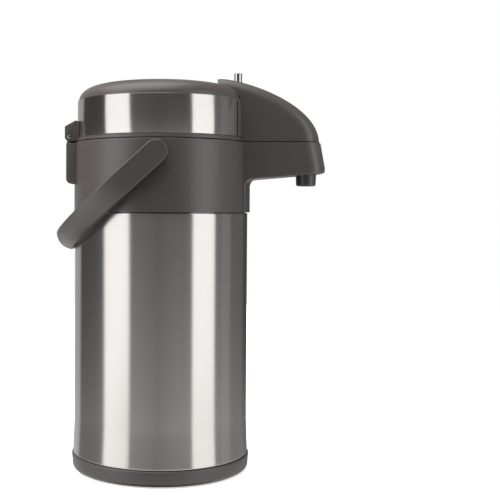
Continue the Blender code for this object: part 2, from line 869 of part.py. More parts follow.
# Lid
def make_lid_base():
    stem_hole = valve_stem + touch_gap
    ring_inside = lid_ring_radius - lid_ring_wall
    rib = mouth_bore + gasket_width + touch_gap
    rib_low = lid_floor_height - gasket_rib_depth
    profile = [(stem_hole, lid_floor_top), (ring_inside, lid_floor_top), (ring_inside, lid_ring_top)]
    step_top = rim_top - rim_height / 2
    profile += [(lid_ring_radius, lid_ring_top), (lid_ring_radius, rim_top)]
    profile += [(rim_radius - rim_step, rim_top), (rim_radius - rim_step, step_top), (rim_radius, step_top)]
    profile += [(rim_radius, rim_bottom), (ring_inside, rim_bottom), (ring_inside, lid_floor_height)]
    profile += [(rib + gasket_rib, lid_floor_height), (rib + gasket_rib, rib_low), (rib, rib_low)]
    profile += [(rib, lid_floor_height), (stem_hole, lid_floor_height)]
    base = turned("lid_base", profile, "grey")
    side = Vector((0.0, 2 * hinge_half_width, 0.0))
    for name, direction in (("left", -1), ("right", 1)):
        join(base, make_ear(name, direction))
    cut(base, rod("ear_pin_hole", pin_radius + touch_gap, pin_centre() - side, pin_centre() + side))
    notch = knuckle_half_width + touch_gap
    front = -pin_place + knuckle_radius + touch_gap
    notch_low = (-2 * rim_radius, -notch, collar_bottom)
    cut(base, box("knuckle_notch", notch_low, (front, notch, pin_height + ear_height)))
    nose = nose_half_width + touch_gap
    cut(base, box("nose_notch", (nose_notch, -nose, collar_bottom), (2 * rim_radius, nose, band_top)))
    for index, angle in enumerate(screw_angles):
        below = around(lid_screw_circle, angle, lid_floor_height - lid_floor_thickness)
        above = around(lid_screw_circle, angle, lid_floor_top + lid_floor_thickness)
        cut(base, rod(f"lid_hole_{index + 1}", screw_hole, below, above, None, screw_facets))
    return base


def make_ear(name, direction):
    # Round under the pin, upright at the back, sloping to a peak, and hollowed by the band beside it
    back = -pin_place - knuckle_radius
    outline = arc((-pin_place, pin_height), knuckle_radius, 180, 285, 5)
    outline += [(-pin_place + knuckle_radius, rim_bottom), (-pin_place + ear_depth, rim_bottom)]
    top = pin_height + ear_height
    outline += [(-pin_place + ear_depth, top), (-pin_place + ear_peak, top)]
    outline += [(back, pin_height + ear_back_height)]
    inner = knuckle_half_width + touch_gap
    half = (hinge_half_width - inner) / 2
    ear = plate(f"ear_form_{name}", outline, half)
    ear.location = (0.0, direction * (inner + half), 0.0)
    low = Vector((0.0, 0.0, rim_top))
    high = Vector((0.0, 0.0, pin_height + 2 * ear_height))
    cut(ear, rod(f"ear_hollow_{name}", band_radius + touch_gap, low, high, None, large_facets))
    return ear


def make_lid_gasket():
    high = lid_floor_height - touch_gap
    low = mouth_top + touch_gap
    edge = mouth_bore + gasket_width
    profile = [(mouth_bore, high), (edge, high), (edge, low), (mouth_bore, low)]
    return turned("lid_gasket", profile, "silicone", middle_facets)


def dome_curve(inset):
    edge = Vector((band_radius - dome_edge_step - inset, dome_edge - inset))
    control = Vector((band_radius - dome_shoulder_in - inset, dome_shoulder_height - inset))
    rim = Vector((guide_bore + inset, button_edge - inset))
    points = []
    for step in range(dome_steps + 1):
        share = step / dome_steps
        points.append(tuple((1 - share) ** 2 * rim + 2 * share * (1 - share) * control + share**2 * edge))
    return points


def make_lid_cover():
    profile = dome_curve(0.0)
    profile += [(cover_radius, dome_edge), (cover_radius, cover_bottom), (cover_bore, cover_bottom)]
    profile += dome_curve(cover_wall)[:0:-1]
    profile += [(guide_radius, button_edge - cover_wall)]
    profile += [(guide_radius, guide_bottom), (guide_bore, guide_bottom)]
    cover = turned("lid_cover", profile, "grey")
    for index, angle in enumerate(screw_angles):
        foot = around(lid_screw_circle, angle, lid_floor_top + touch_gap)
        head = around(lid_screw_circle, angle, lid_post_top)
        join(cover, rod(f"lid_post_{index + 1}", lid_post_radius, foot, head, None, screw_facets))
    join(cover, make_band_frame(), upper_nose("upper_nose_form", 0.0))
    cut(cover, upper_nose("upper_nose_hollow", nose_wall))
    slot = lock_radius + run_gap / 2
    low = (lock_place - slot - lock_travel, -slot, ridge_height - 3 * nose_wall)
    high = (lock_place + slot, slot, lock_top)
    cut(cover, box("lock_slot", low, high))
    for index, angle in enumerate(screw_angles):
        below = around(lid_screw_circle, angle, lid_floor_height)
        above = around(lid_screw_circle, angle, lid_floor_top + lid_screw_reach + run_gap)
        cut(cover, rod(f"lid_post_hole_{index + 1}", screw_hole, below, above, None, screw_facets))
    return cover


def make_band_frame():
    # The upright strips of plastic between the ends of the steel band and the nose
    strip_radius = rim_radius - strip_inset
    profile = [(cover_bore, dome_edge), (band_radius - dome_edge_step, dome_edge)]
    profile += [(strip_radius, dome_edge - strip_slope), (strip_radius, cover_bottom)]
    profile += [(cover_bore, cover_bottom)]
    frame = turned("band_frame_form", profile)
    reach = band_end - touch_gap
    low = (0.0, -reach, cover_bottom - rim_height)
    high = (2 * rim_radius, reach, dome_edge + rim_height)
    combine(frame, box("band_frame_window", low, high), "INTERSECT")
    return frame


def make_lid_band():
    inside = band_radius - band_thickness
    profile = [(inside, band_top), (band_radius, band_top)]
    profile += [(band_radius, band_bottom), (inside, band_bottom)]
    band = turned("lid_band", profile, "brushed")
    low = (0.0, -band_end, band_bottom - rim_height)
    high = (2 * band_radius, band_end, band_top + rim_height)
    cut(band, box("band_window", low, high))
    return band


def make_lid_screws():
    for index, angle in enumerate(screw_angles):
        seat = around(lid_screw_circle, angle, lid_floor_height - touch_gap)
        tip = around(lid_screw_circle, angle, lid_floor_top + lid_screw_reach)
        screw(f"lid_screw_{index + 1}", seat, tip, deck_head_height)


def make_valve_disc():
    disc_top = lid_floor_height - touch_gap
    bulb = lid_floor_top + touch_gap
    bulb_top = bulb + valve_bulb_height
    disc_low = disc_top - valve_thickness
    profile = [(0.0, bulb_top), (valve_stem, bulb_top), (valve_bulb, bulb), (valve_stem, bulb)]
    profile += [(valve_stem, disc_top), (valve_radius, disc_top), (valve_radius, disc_low), (0.0, disc_low)]
    return turned("valve_disc", profile, "rubber", small_facets, closed=False)


# Pump
def make_pump_button():
    profile = []
    for share in (0.0, 0.4, 0.75, 1.0):
        profile.append((share * button_radius, button_crown - (button_crown - button_edge) * share**2))
    flange_top = guide_bottom - touch_gap
    inside = button_radius - button_wall
    profile += [(button_radius, flange_top), (button_radius + button_flange, flange_top)]
    profile += [(button_radius + button_flange, flange_top - button_flange_thickness)]
    profile += [(inside, flange_top - button_flange_thickness), (inside, plate_under), (0.0, plate_under)]
    return turned("pump_button", profile, "grey", closed=False)


def make_bellows():
    high = plate_under - touch_gap
    low = lid_floor_top + touch_gap
    count = 2 * bellows_folds
    outside = []
    for step in range(count + 1):
        radius = bellows_radius - (bellows_fold if step % 2 else 0.0)
        outside.append((radius, high + (low - high) * step / count))
    inside = [(radius - bellows_wall, height) for radius, height in outside[::-1]]
    return turned("bellows", outside + inside, "rubber", middle_facets)


def make_return_spring():
    high = plate_under - touch_gap - spring_wire
    low = lid_floor_top + touch_gap + spring_wire
    count = spring_turns * spring_points
    path = []
    for step in range(count + 1):
        angle = math.tau * step / spring_points
        path.append(around(spring_radius, angle, low + (high - low) * step / count))
    # The least gap of the wire to itself, between points at least half a turn apart
    half_turn = spring_points // 2
    pairs = ((first, second) for first in range(count) for second in range(first + half_turn, count + 1))
    least = min((path[first] - path[second]).length for first, second in pairs) - 2 * spring_wire
    print(f"return_spring least gap to itself {least * 1000:.2f} mm")
    return tube("return_spring", path, spring_wire, "bright", 1)


# Lock
def make_lock_slider():
    plate_top = ridge_height - nose_wall - touch_gap - lock_plate_drop
    plate_low = plate_top - lock_plate_thickness
    profile = [(0.0, lock_top), (lock_radius - lock_dome, lock_top), (lock_radius, lock_top - lock_dome)]
    plate_middle = plate_low + lock_plate_thickness / 2
    profile += [(lock_radius, plate_middle), (0.0, plate_middle)]
    slider = turned("lock_slider", profile, "bright", small_facets, False, (lock_place, 0.0, 0.0))
    back = lock_place - lock_plate_back
    low = (back, -lock_plate_half_width, plate_low)
    high = (lock_place + lock_plate_front, lock_plate_half_width, plate_top)
    tongue_low = (back, -lock_tongue_half_width, plate_low - lock_tongue_depth)
    tongue_high = (back + lock_tongue, lock_tongue_half_width, plate_top - touch_gap)
    join(slider, box("lock_plate_form", low, high), box("lock_tongue_form", tongue_low, tongue_high))
    return slider


# Section of the strap, thickness then width: the outer face is flat on the arms and arched on the bow
def strap_section(arch):
    wide = strap_width / 2
    thick = strap_thickness / 2
    flat = 1 - strap_edge / wide
    corners = [(-thick, wide - strap_edge), (strap_edge - thick, wide)]
    for share in (1.0, flat, flat / 2, 0.0, -flat / 2, -flat, -1.0):
        plain = thick - (strap_edge if abs(share) == 1.0 else 0.0)
        arched = thick + bow_crown - (bow_crown + bow_edge) * share**2
        corners.append((plain + (arched - plain) * arch, share * wide))
    corners += [(strap_edge - thick, -wide), (-thick, strap_edge - wide)]
    return corners


# Handle: modelled level, with its bow towards -X and its origin on the pivots, then lowered to its rest
def make_handle():
    half_width = strap_width / 2
    half_thick = strap_thickness / 2
    edge = strap_edge
    path = [Vector((0.0, -strap_middle, 0.0))]
    for step in range(bow_stations + 1):
        angle = math.pi * (step / bow_stations - 0.5)
        reach = arm_straight + (bow_middle - arm_straight) * math.cos(angle)
        path.append(Vector((-reach, strap_middle * math.sin(angle), 0.0)))
    path.append(Vector((0.0, strap_middle, 0.0)))
    sections = []
    for step, place in enumerate(path):
        ahead = path[min(step + 1, len(path) - 1)] - path[max(step - 1, 0)]
        outward = Vector((-ahead.y, ahead.x, 0.0)).normalized()
        share = (place.x / bow_middle) ** 2
        rise = bow_lift * share
        corners = strap_section(share**2)
        sections.append([place + outward * deep + Vector((0, 0, wide + rise)) for deep, wide in corners])
    handle = loft("handle", sections, "grey")
    handle.location = (0.0, 0.0, pivot_height)
    handle.rotation_euler = (0.0, -handle_rest, 0.0)
    end_profile = [(0.0, half_thick), (half_width - edge, half_thick), (half_width, half_thick - edge)]
    end_profile += [(half_width, edge - half_thick), (half_width - edge, -half_thick), (0.0, -half_thick)]
    for name, direction in (("left", -1), ("right", 1)):
        end = turned(f"handle_end_{name}", end_profile, None, round_facets, False)
        end.location = (0.0, direction * strap_middle, pivot_height)
        end.rotation_euler = (math.pi / 2, 0.0, 0.0)
        join(handle, end)
        start = Vector((0.0, direction * (arm_inside - strap_thickness), pivot_height))
        stop = Vector((0.0, direction * (arm_inside + pivot_depth + touch_gap), pivot_height))
        cut(handle, rod(f"handle_socket_{name}", pivot_radius + touch_gap, start, stop))
    return handle


def make_handle_pivots():
    flat = math.cos(math.pi / large_facets)
    inside = cylinder_place((collar_radius - collar_wall) * flat, pivot_head_radius) - touch_gap
    washer_low = collar_radius + touch_gap
    washer_high = arm_inside - touch_gap
    pieces = []
    for name, direction in (("left", -1), ("right", 1)):
        head = Vector((0.0, direction * (inside - pivot_head_thickness), pivot_height))
        neck = Vector((0.0, direction * inside, pivot_height))
        tip = Vector((0.0, direction * (arm_inside + pivot_depth), pivot_height))
        pin = rod(f"handle_pin_{name}", pivot_radius, (head + neck) / 2, tip, "bright")
        join(pin, rod(f"handle_pin_head_{name}", pivot_head_radius, head, neck))
        bore = pivot_radius + touch_gap
        half = (washer_high - washer_low) / 2
        profile = [(bore, half), (washer_radius, half), (washer_radius, -half), (bore, -half)]
        place = (0.0, direction * (washer_low + half), pivot_height)
        washer = turned(f"handle_washer_{name}", profile, "black", round_facets, place=place)
        washer.rotation_euler = (math.pi / 2, 0.0, 0.0)
        pieces += [pin, washer]
    return pieces


# Joint axes: an empty on each axis carries the pieces that move with it
def carry(axis_name, place, pieces, parent=None):
    axis = bpy.data.objects.new(axis_name, None)
    parts.objects.link(axis)
    axis.location = place
    if parent is not None:
        axis.parent = parent
        axis.location = Vector(place) - parent.location
    for piece in pieces:
        piece.parent = axis
        piece.matrix_parent_inverse = Matrix.Translation(place).inverted()
    return axis


def make_airpot():
    make_foot_pad()
    make_base_cup()
    make_base_screws()
    make_outer_shell()
    make_shell_bottom()
    make_inner_liner()
    make_neck_gasket()
    make_collar()
    make_mouth_ring()
    make_mouth_screws()
    make_dip_tube()
    make_tube_head()
    make_spout_pipe()
    make_pipe_grommet()
    make_nozzle()
    make_hinge_pin()
    lid = [make_lid_base(), make_lid_gasket(), make_lid_cover(), make_lid_band(), make_valve_disc()]
    make_lid_screws()
    lid += [bpy.data.objects[f"lid_screw_{index + 1}"] for index in range(3)]
    lid += [make_bellows(), make_return_spring()]
    lid_axis = carry("lid_axis", pin_centre(), lid)
    carry("pump_axis", Vector((0.0, 0.0, button_crown)), [make_pump_button()], lid_axis)
    carry("lock_axis", Vector((lock_place, 0.0, ridge_height)), [make_lock_slider()], lid_axis)
    carry("handle_axis", Vector((0.0, 0.0, pivot_height)), [make_handle()] + make_handle_pivots())


make_airpot()
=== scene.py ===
import json
import math

import bmesh
import bpy
import numpy as np
from mathutils import Matrix, Vector


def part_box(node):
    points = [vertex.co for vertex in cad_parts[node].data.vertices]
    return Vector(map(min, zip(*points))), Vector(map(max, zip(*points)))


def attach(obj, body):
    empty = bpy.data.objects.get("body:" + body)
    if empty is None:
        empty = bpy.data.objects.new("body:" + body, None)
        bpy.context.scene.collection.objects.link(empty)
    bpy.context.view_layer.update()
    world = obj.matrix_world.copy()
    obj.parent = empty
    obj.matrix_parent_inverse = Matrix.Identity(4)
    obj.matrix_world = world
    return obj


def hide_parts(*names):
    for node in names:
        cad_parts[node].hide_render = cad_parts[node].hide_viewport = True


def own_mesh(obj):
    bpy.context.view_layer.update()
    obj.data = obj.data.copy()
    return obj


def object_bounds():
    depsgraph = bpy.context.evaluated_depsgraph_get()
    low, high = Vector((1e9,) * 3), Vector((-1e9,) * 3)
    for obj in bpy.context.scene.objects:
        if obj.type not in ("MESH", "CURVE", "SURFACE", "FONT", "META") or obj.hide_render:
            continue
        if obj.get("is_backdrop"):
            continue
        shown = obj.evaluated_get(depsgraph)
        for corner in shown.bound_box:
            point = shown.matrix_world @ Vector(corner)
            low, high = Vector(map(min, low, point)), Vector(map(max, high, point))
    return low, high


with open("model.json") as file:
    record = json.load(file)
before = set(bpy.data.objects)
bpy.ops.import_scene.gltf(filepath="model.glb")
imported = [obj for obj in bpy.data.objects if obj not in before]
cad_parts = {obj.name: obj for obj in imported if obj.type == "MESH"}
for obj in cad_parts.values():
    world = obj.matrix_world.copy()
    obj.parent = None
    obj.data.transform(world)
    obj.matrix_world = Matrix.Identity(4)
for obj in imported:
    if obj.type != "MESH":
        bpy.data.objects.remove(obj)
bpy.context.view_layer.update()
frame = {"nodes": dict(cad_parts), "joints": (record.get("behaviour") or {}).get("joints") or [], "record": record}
print("frame:", len(frame["nodes"]), "nodes")

mm = 0.001  # shapes are worked out in millimetres, meshes are in metres
fullTurn = 2 * math.pi
quarter = math.pi / 2
touchGap = 0.3  # between pieces that rest on each other
joints = {joint["name"]: joint for joint in frame["joints"]}
pinX, _, pinZ = np.array(joints["lid_open"]["pos_m"]) / mm
pivotZ = joints["handle_swing"]["pos_m"][2] / mm


def boxOf(node):
    # lowest and highest corner of a node, in millimetres
    low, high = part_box(node)
    return np.array(low) / mm, np.array(high) / mm


def pick(look, names):
    # several values of a dictionary at once
    return [look[name] for name in names.split()]


# Shader maths as plain expressions
class Flow:
    # a socket that can stand in a sum: each operator adds one Math node
    def __init__(self, owner, socket):
        self.owner = owner
        self.socket = socket

    def math(self, operation, first, second=0):
        return self.owner.node("Math", {"operation": operation}, {0: first, 1: second})

    def __add__(self, other):
        return self.math("ADD", self, other)

    def __radd__(self, other):
        return self.math("ADD", other, self)

    def __sub__(self, other):
        return self.math("SUBTRACT", self, other)

    def __rsub__(self, other):
        return self.math("SUBTRACT", other, self)

    def __mul__(self, other):
        return self.math("MULTIPLY", self, other)

    def __rmul__(self, other):
        return self.math("MULTIPLY", other, self)

    def __abs__(self):
        return self.math("ABSOLUTE", self)


class Nodes:
    # a node tree, of a material or of the room
    def __init__(self, tree):
        self.tree = tree

    def node(self, kind, settings, inputs, output=0):
        made = self.tree.nodes.new("ShaderNode" + kind)
        for name, value in settings.items():
            setattr(made, name, value)
        for key, value in inputs.items():
            if isinstance(value, Flow):
                self.tree.links.new(value.socket, made.inputs[key])
            else:
                made.inputs[key].default_value = value
        return Flow(self, made.outputs[output])

    def mix(self, share, first, second):
        # two colours, each one fixed or fed by a node
        colours = [value if isinstance(value, Flow) else (*value, 1.0) for value in (first, second)]
        return self.node("Mix", {"data_type": "RGBA"}, {0: share, 6: colours[0], 7: colours[1]}, 2)


class Finish(Nodes):
    # one material: fixed values stand on the shader's own sockets, varying ones are fed by nodes
    def __init__(self, name, fixed):
        self.material = bpy.data.materials.new(name)
        self.material.use_nodes = True
        super().__init__(self.material.node_tree)
        self.shader = self.tree.nodes["Principled BSDF"]
        for socket, value in fixed.items():
            self.shader.inputs[socket].default_value = value

    def feed(self, socket, flow):
        self.tree.links.new(flow.socket, self.shader.inputs[socket])

    def grain(self, perMetre, detail=2.0):
        # noise with its own number of features per metre along X, Y and Z
        place = self.node("TexCoord", {}, {}, "Object")
        scaled = self.node("Mapping", {}, {"Vector": place, "Scale": perMetre})
        return self.node("TexNoise", {}, {"Vector": scaled, "Scale": 1.0, "Detail": detail}, "Fac")

    def tint(self, share, dark, light):
        self.feed("Base Color", self.mix(share, dark, light))

    def roughen(self, share, rough, swing):
        # noise swings round a half, roughness round its own middle
        self.feed("Roughness", (share - 0.5) * swing + rough)

    def relief(self, height, strength, depth):
        bump = self.node("Bump", {}, {"Height": height, "Strength": strength, "Distance": depth * mm})
        self.feed("Normal", bump)


steelLook = {"dark": (0.54, 0.525, 0.51), "light": (0.585, 0.57, 0.555), "rough": 0.225, "swing": 0.05,
             "lines": 2200.0, "fine": 6400.0, "along": 22.0, "fineAlong": 3, "coarse": 0.6,
             "anisotropic": 0.92, "turn": 0.25, "strength": 0.06, "depth": 0.05}


def brushedSteel(name, look):
    # brush lines run round the body: noise that is slow along X and Y and quick along Z
    steel = Finish(name, {"Metallic": 1.0, "Anisotropic": look["anisotropic"],
                          "Anisotropic Rotation": look["turn"]})
    along, coarse = pick(look, "along coarse")
    lines = steel.grain((along, along, look["lines"]))
    along = along * look["fineAlong"]
    fine = steel.grain((along, along, look["fine"]))
    brushing = lines * coarse + fine * (1 - coarse)
    steel.tint(brushing, look["dark"], look["light"])
    steel.roughen(brushing, look["rough"], look["swing"])
    steel.relief(brushing, look["strength"], look["depth"])
    return steel.material


smoothLook = {"cloud": 60.0, "detail": 3.0, "dark": 0.92, "swing": 0.08}


def smoothSteel(name, colour, rough):
    # polished metal: a soft cloud in colour and roughness
    steel = Finish(name, {"Metallic": 1.0})
    cloud = steel.grain((smoothLook["cloud"],) * 3, smoothLook["detail"])
    steel.tint(cloud, [smoothLook["dark"] * value for value in colour], colour)
    steel.roughen(cloud, rough, smoothLook["swing"])
    return steel.material


mouldLook = {"specular": 0.8, "cloudDetail": 3.0, "cloudShare": 0.6}
plasticLook = {"dark": (0.0565, 0.0487, 0.0470), "light": (0.0665, 0.0577, 0.0560), "rough": 0.38,
               "swing": 0.10, "cloud": 30.0, "texture": 1700.0, "strength": 0.12, "depth": 0.05}
blackLook = {"dark": (0.034, 0.0325, 0.0325), "light": (0.044, 0.0425, 0.0425), "rough": 0.38, "swing": 0.08,
             "cloud": 40.0, "texture": 1500.0, "strength": 0.08, "depth": 0.04}
rubberLook = {"dark": (0.022, 0.022, 0.022), "light": (0.036, 0.035, 0.034), "rough": 0.78, "swing": 0.12,
              "cloud": 50.0, "texture": 900.0, "strength": 0.25, "depth": 0.06}
siliconeLook = {"dark": (0.55, 0.53, 0.50), "light": (0.66, 0.64, 0.61), "rough": 0.55, "swing": 0.10,
                "cloud": 40.0, "texture": 700.0, "strength": 0.10, "depth": 0.05}


def moulded(name, look):
    # a spark-eroded mould: fine even relief, and a slight cloud in the colour
    plastic = Finish(name, {"Specular IOR Level": mouldLook["specular"]})
    cloud = plastic.grain((look["cloud"],) * 3, mouldLook["cloudDetail"])
    texture = plastic.grain((look["texture"],) * 3)
    share = mouldLook["cloudShare"]
    plastic.tint(cloud * share + texture * (1 - share), look["dark"], look["light"])
    plastic.roughen(texture, look["rough"], look["swing"])
    plastic.relief(texture, look["strength"], look["depth"])
    return plastic.material


finishes = {
    "brushed_shell": brushedSteel("brushedShell", steelLook),
    "band_steel": brushedSteel("bandSteel", {**steelLook, "rough": 0.20, "along": 12.0}),
    "liner_steel": smoothSteel("linerSteel", (0.62, 0.61, 0.60), 0.24),
    "screw_steel": smoothSteel("screwSteel", (0.60, 0.59, 0.58), 0.22),
    "bright_steel": smoothSteel("brightSteel", (0.72, 0.71, 0.69), 0.14),
    "lock_chrome": smoothSteel("lockChrome", (0.74, 0.73, 0.72), 0.10),
    "grey_plastic": moulded("greyPlastic", plasticLook),
    "black_plastic": moulded("blackPlastic", blackLook),
    "foot_rubber": moulded("footRubber", rubberLook),
    "black_rubber": moulded("blackRubber", rubberLook),
    "silicone": moulded("silicone", siliconeLook),
}
print("finishes:", len(finishes))


# Outlines and surfaces, in millimetres
meshLook = {"cornerRoom": 0.49, "merge": 0.002, "sharp": 32, "edgePoints": 4, "crownPoints": 8}


def filleted(corners, closed=False, steps=6):
    # straight runs; a corner (x, y, radius) becomes an arc that touches both of its runs
    points = np.array([corner[:2] for corner in corners], float)
    pieces = []
    for index, corner in enumerate(corners):
        inner = closed or 0 < index < len(corners) - 1
        if len(corner) < 3 or not inner:
            pieces.append(points[index][None])
            continue
        before = points[index - 1] - points[index]
        after = points[(index + 1) % len(points)] - points[index]
        room = meshLook["cornerRoom"] * min(np.linalg.norm(before), np.linalg.norm(after))
        before = before / np.linalg.norm(before)
        after = after / np.linalg.norm(after)
        half = math.acos(np.clip(before @ after, -1, 1)) / 2
        reach = min(corner[2] / math.tan(half), room)
        radius = reach * math.tan(half)
        bisector = (before + after) / np.linalg.norm(before + after)
        centre = points[index] + bisector * radius / math.sin(half)
        start = points[index] + before * reach - centre
        end = points[index] + after * reach - centre
        sweep = math.pi - 2 * half
        share = np.linspace(0, 1, steps + 1)[:, None]
        arc = np.sin((1 - share) * sweep) * start + np.sin(share * sweep) * end
        pieces.append(centre + arc / math.sin(sweep))
    return np.concatenate(pieces)


def arcOf(centre, radius, start, end, steps=8):
    # the centre plus the radius times cosine and sine of the angle, which is in degrees
    angle = np.radians(np.linspace(start, end, steps))
    return np.array(centre) + radius * np.stack([np.cos(angle), np.sin(angle)], axis=1)


def gridFaces(rows, columns, wrapRows, wrapColumns):
    # quads of a grid of points by row and column, closed round either way
    index = np.arange(rows * columns).reshape(rows, columns)
    if wrapRows:
        index = np.vstack([index, index[:1]])
    if wrapColumns:
        index = np.hstack([index, index[:, :1]])
    corners = [index[:-1, :-1], index[1:, :-1], index[1:, 1:], index[:-1, 1:]]
    return np.stack(corners, axis=-1).reshape(-1, 4)


def carried(radius, height, angle):
    # round the Z axis: radius r and height z at angle a give the point (r cos a, r sin a, z)
    return np.stack(np.broadcast_arrays(radius * np.cos(angle), radius * np.sin(angle), height), axis=-1)


def turned(profile, closed, segments):
    # surface of revolution of a profile of radius and height
    angle = np.linspace(0, fullTurn, segments, endpoint=False)
    grid = carried(profile[:, :1], profile[:, 1:], angle)
    return grid.reshape(-1, 3), gridFaces(len(profile), segments, closed, True), []


def spun(corners, closed, segments, steps=6):
    # turned from rounded corners; an open profile starts and ends on the axis
    return turned(filleted(corners, closed, steps), closed, segments)


def lofted(sections):
    # outlines of equal count joined side to side, with the first and the last one filled
    rows, count = sections.shape[:2]
    ends = [np.arange(count).tolist(), np.arange((rows - 1) * count, rows * count).tolist()]
    return sections.reshape(-1, 3), gridFaces(rows, count, False, True), ends


def piped(path, side, outer, inner, segments):
    # circles round a path: forwards with the outer radius, back with the inner one
    along = np.gradient(path, axis=0)
    along = along / np.linalg.norm(along, axis=1)[:, None]
    side = side - along * np.sum(side * along, axis=1)[:, None]
    side = side / np.linalg.norm(side, axis=1)[:, None]
    across = np.cross(along, side)
    angle = np.linspace(0, fullTurn, segments, endpoint=False)[None, :, None]
    ring = np.cos(angle) * side[:, None] + np.sin(angle) * across[:, None]
    outside = path[:, None] + outer * ring
    if inner:
        inside = (path[:, None] + inner * ring)[::-1]
        grid = np.concatenate([outside, inside])
        return grid.reshape(-1, 3), gridFaces(len(grid), segments, True, True), []
    return lofted(outside)


def plated(outline, low, high, edge):
    # an outline of X and Z, thick along Y, drawn in by a quarter circle at both faces
    ahead = np.roll(outline, -1, axis=0) - np.roll(outline, 1, axis=0)
    inward = np.stack([-ahead[:, 1], ahead[:, 0]], axis=1)
    inward = inward / np.linalg.norm(inward, axis=1)[:, None]
    if np.sum(inward * (outline.mean(axis=0) - outline)) < 0:
        inward = -inward
    turnIn = np.linspace(0, quarter, meshLook["edgePoints"])
    depths = edge * (1 - np.sin(turnIn))
    places = edge * (1 - np.cos(turnIn))
    rows = []
    for depth, place in [*zip(depths, low + places), *zip(depths[::-1], high - places[::-1])]:
        ring = outline + inward * depth
        rows.append(np.stack([ring[:, 0], np.full(len(ring), place), ring[:, 1]], axis=1))
    return lofted(np.array(rows))


def blockOf(low, high, edge):
    # a box: its outline of X and Z with round corners, as a plate along Y
    corners = [(low[0], low[2]), (high[0], low[2]), (high[0], high[2]), (low[0], high[2])]
    outline = filleted([(*corner, edge) for corner in corners], True, steps=3)
    return plated(outline, low[1], high[1], edge)


def moved(shape, place, axis="Z"):
    # a shape made on the Z axis, laid along another axis and carried to its place
    points, quads, ends = shape
    if axis == "X":
        points = points[:, [2, 1, 0]] * [1, 1, -1]
    if axis == "Y":
        points = points[:, [0, 2, 1]] * [1, 1, -1]
    return points + np.array(place), quads, ends


def shadeEdges(mesh):
    # smooth, but for edges past the sharp angle
    mesh.shade_smooth()
    mesh.set_sharp_from_angle(angle=math.radians(meshLook["sharp"]))


def solid(name, shape):
    # one mesh of a closed surface, with doubles merged and faces turned outwards
    corners, quads, ends = shape
    mesh = bpy.data.meshes.new(name)
    mesh.from_pydata((corners * mm).tolist(), [], quads.tolist() + ends)
    form = bmesh.new()
    form.from_mesh(mesh)
    bmesh.ops.remove_doubles(form, verts=form.verts, dist=meshLook["merge"] * mm)
    bmesh.ops.recalc_face_normals(form, faces=form.faces)
    form.to_mesh(mesh)
    form.free()
    shadeEdges(mesh)
    piece = bpy.data.objects.new(name, mesh)
    bpy.context.scene.collection.objects.link(piece)
    return piece


def combined(piece, operation, *others):
    # solids joined to or cut from a piece, which keeps the result as its own mesh
    for other in others:
        step = piece.modifiers.new(operation, "BOOLEAN")
        step.operation = operation
        step.object = other
        step.solver = "EXACT"
        bpy.context.view_layer.update()
        evaluated = piece.evaluated_get(bpy.context.evaluated_depsgraph_get())
        mesh = bpy.data.meshes.new_from_object(evaluated)
        piece.modifiers.clear()
        piece.data = mesh
        bpy.data.objects.remove(other, do_unlink=True)
    shadeEdges(piece.data)
    return piece


def drill(name, radius, low, high, place=(0, 0, 0), axis="Z", segments=48):
    # a plain rod, to cut a hole with
    rod = np.array([(0, high), (radius, high), (radius, low), (0, low)])
    return solid(name, moved(turned(rod, False, segments), place, axis))


def dress(piece, body, slot, *nodes):
    # gives the piece the finish of its slot, hides the nodes it stands for and parents it to the body it rides on
    piece.data.materials.clear()
    piece.data.materials.append(finishes[slot])
    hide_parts(*nodes)
    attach(piece, body)
    return piece


# Foot pad and base
padLook = {"edge": 0.6, "depth": 0.6, "width": 1.6, "grooves": (54.0, 44.0, 34.0, 24.0, 14.0)}


def makeFootPad(edge, depth, width, grooves):
    # turned disc; each groove is a trapezium in the section of its underside
    _, high = boxOf("foot_pad")
    half = width / 2
    corners = [(0, high[2]), (high[0], high[2], edge), (high[0], 0, edge)]
    for groove in grooves:
        corners += [(groove + half, 0), (groove + half - depth / 2, depth)]
        corners += [(groove - half + depth / 2, depth), (groove - half, 0)]
    corners.append((0, 0))
    return solid("footPad", spun(corners, False, segments=128))


baseLook = {"height": 15.0, "lift": 0.6, "taper": 1.2, "proud": 0.5, "fillet": 5.0, "topEdge": 0.9,
            "rimWidth": 4.0, "wall": 3.0, "floorLow": 2.5, "floorHigh": 5.0}


def makeBaseCup(height, lift, taper, proud, fillet, topEdge, rimWidth, wall, floorLow, floorHigh):
    # turned: a floor, an upright wall, and an outer face that tapers from the lip down to the fillet
    radius = boxOf("base_cup")[1][0]
    inside = radius - wall
    rim = radius - fillet - rimWidth
    lip = radius + proud
    corners = [(0, floorHigh), (inside, floorHigh, 1.0), (inside, height, 0.3), (lip, height, topEdge),
               (lip - taper, lift, fillet), (rim, lift, 0.6), (rim, floorLow, 0.4), (0, floorLow)]
    return solid("baseCup", spun(corners, False, segments=256, steps=8))


# Steel flask
shellLook = {"radius": 82.0, "waist": 81.8, "waistHigh": 115.0, "waistLow": 50.0, "foot": 82.9, "wall": 0.8,
             "flange": 6.0, "ledge": 2.8, "ledgeHeight": 241.2, "topRound": 1.5, "footRound": 1.2,
             "shoulderStart": 9.0, "shoulderRise": 24.0, "neckBore": 39.3, "neckRadius": 40.1,
             "sidePoints": 24, "taper": 1.15, "flare": 1.5}


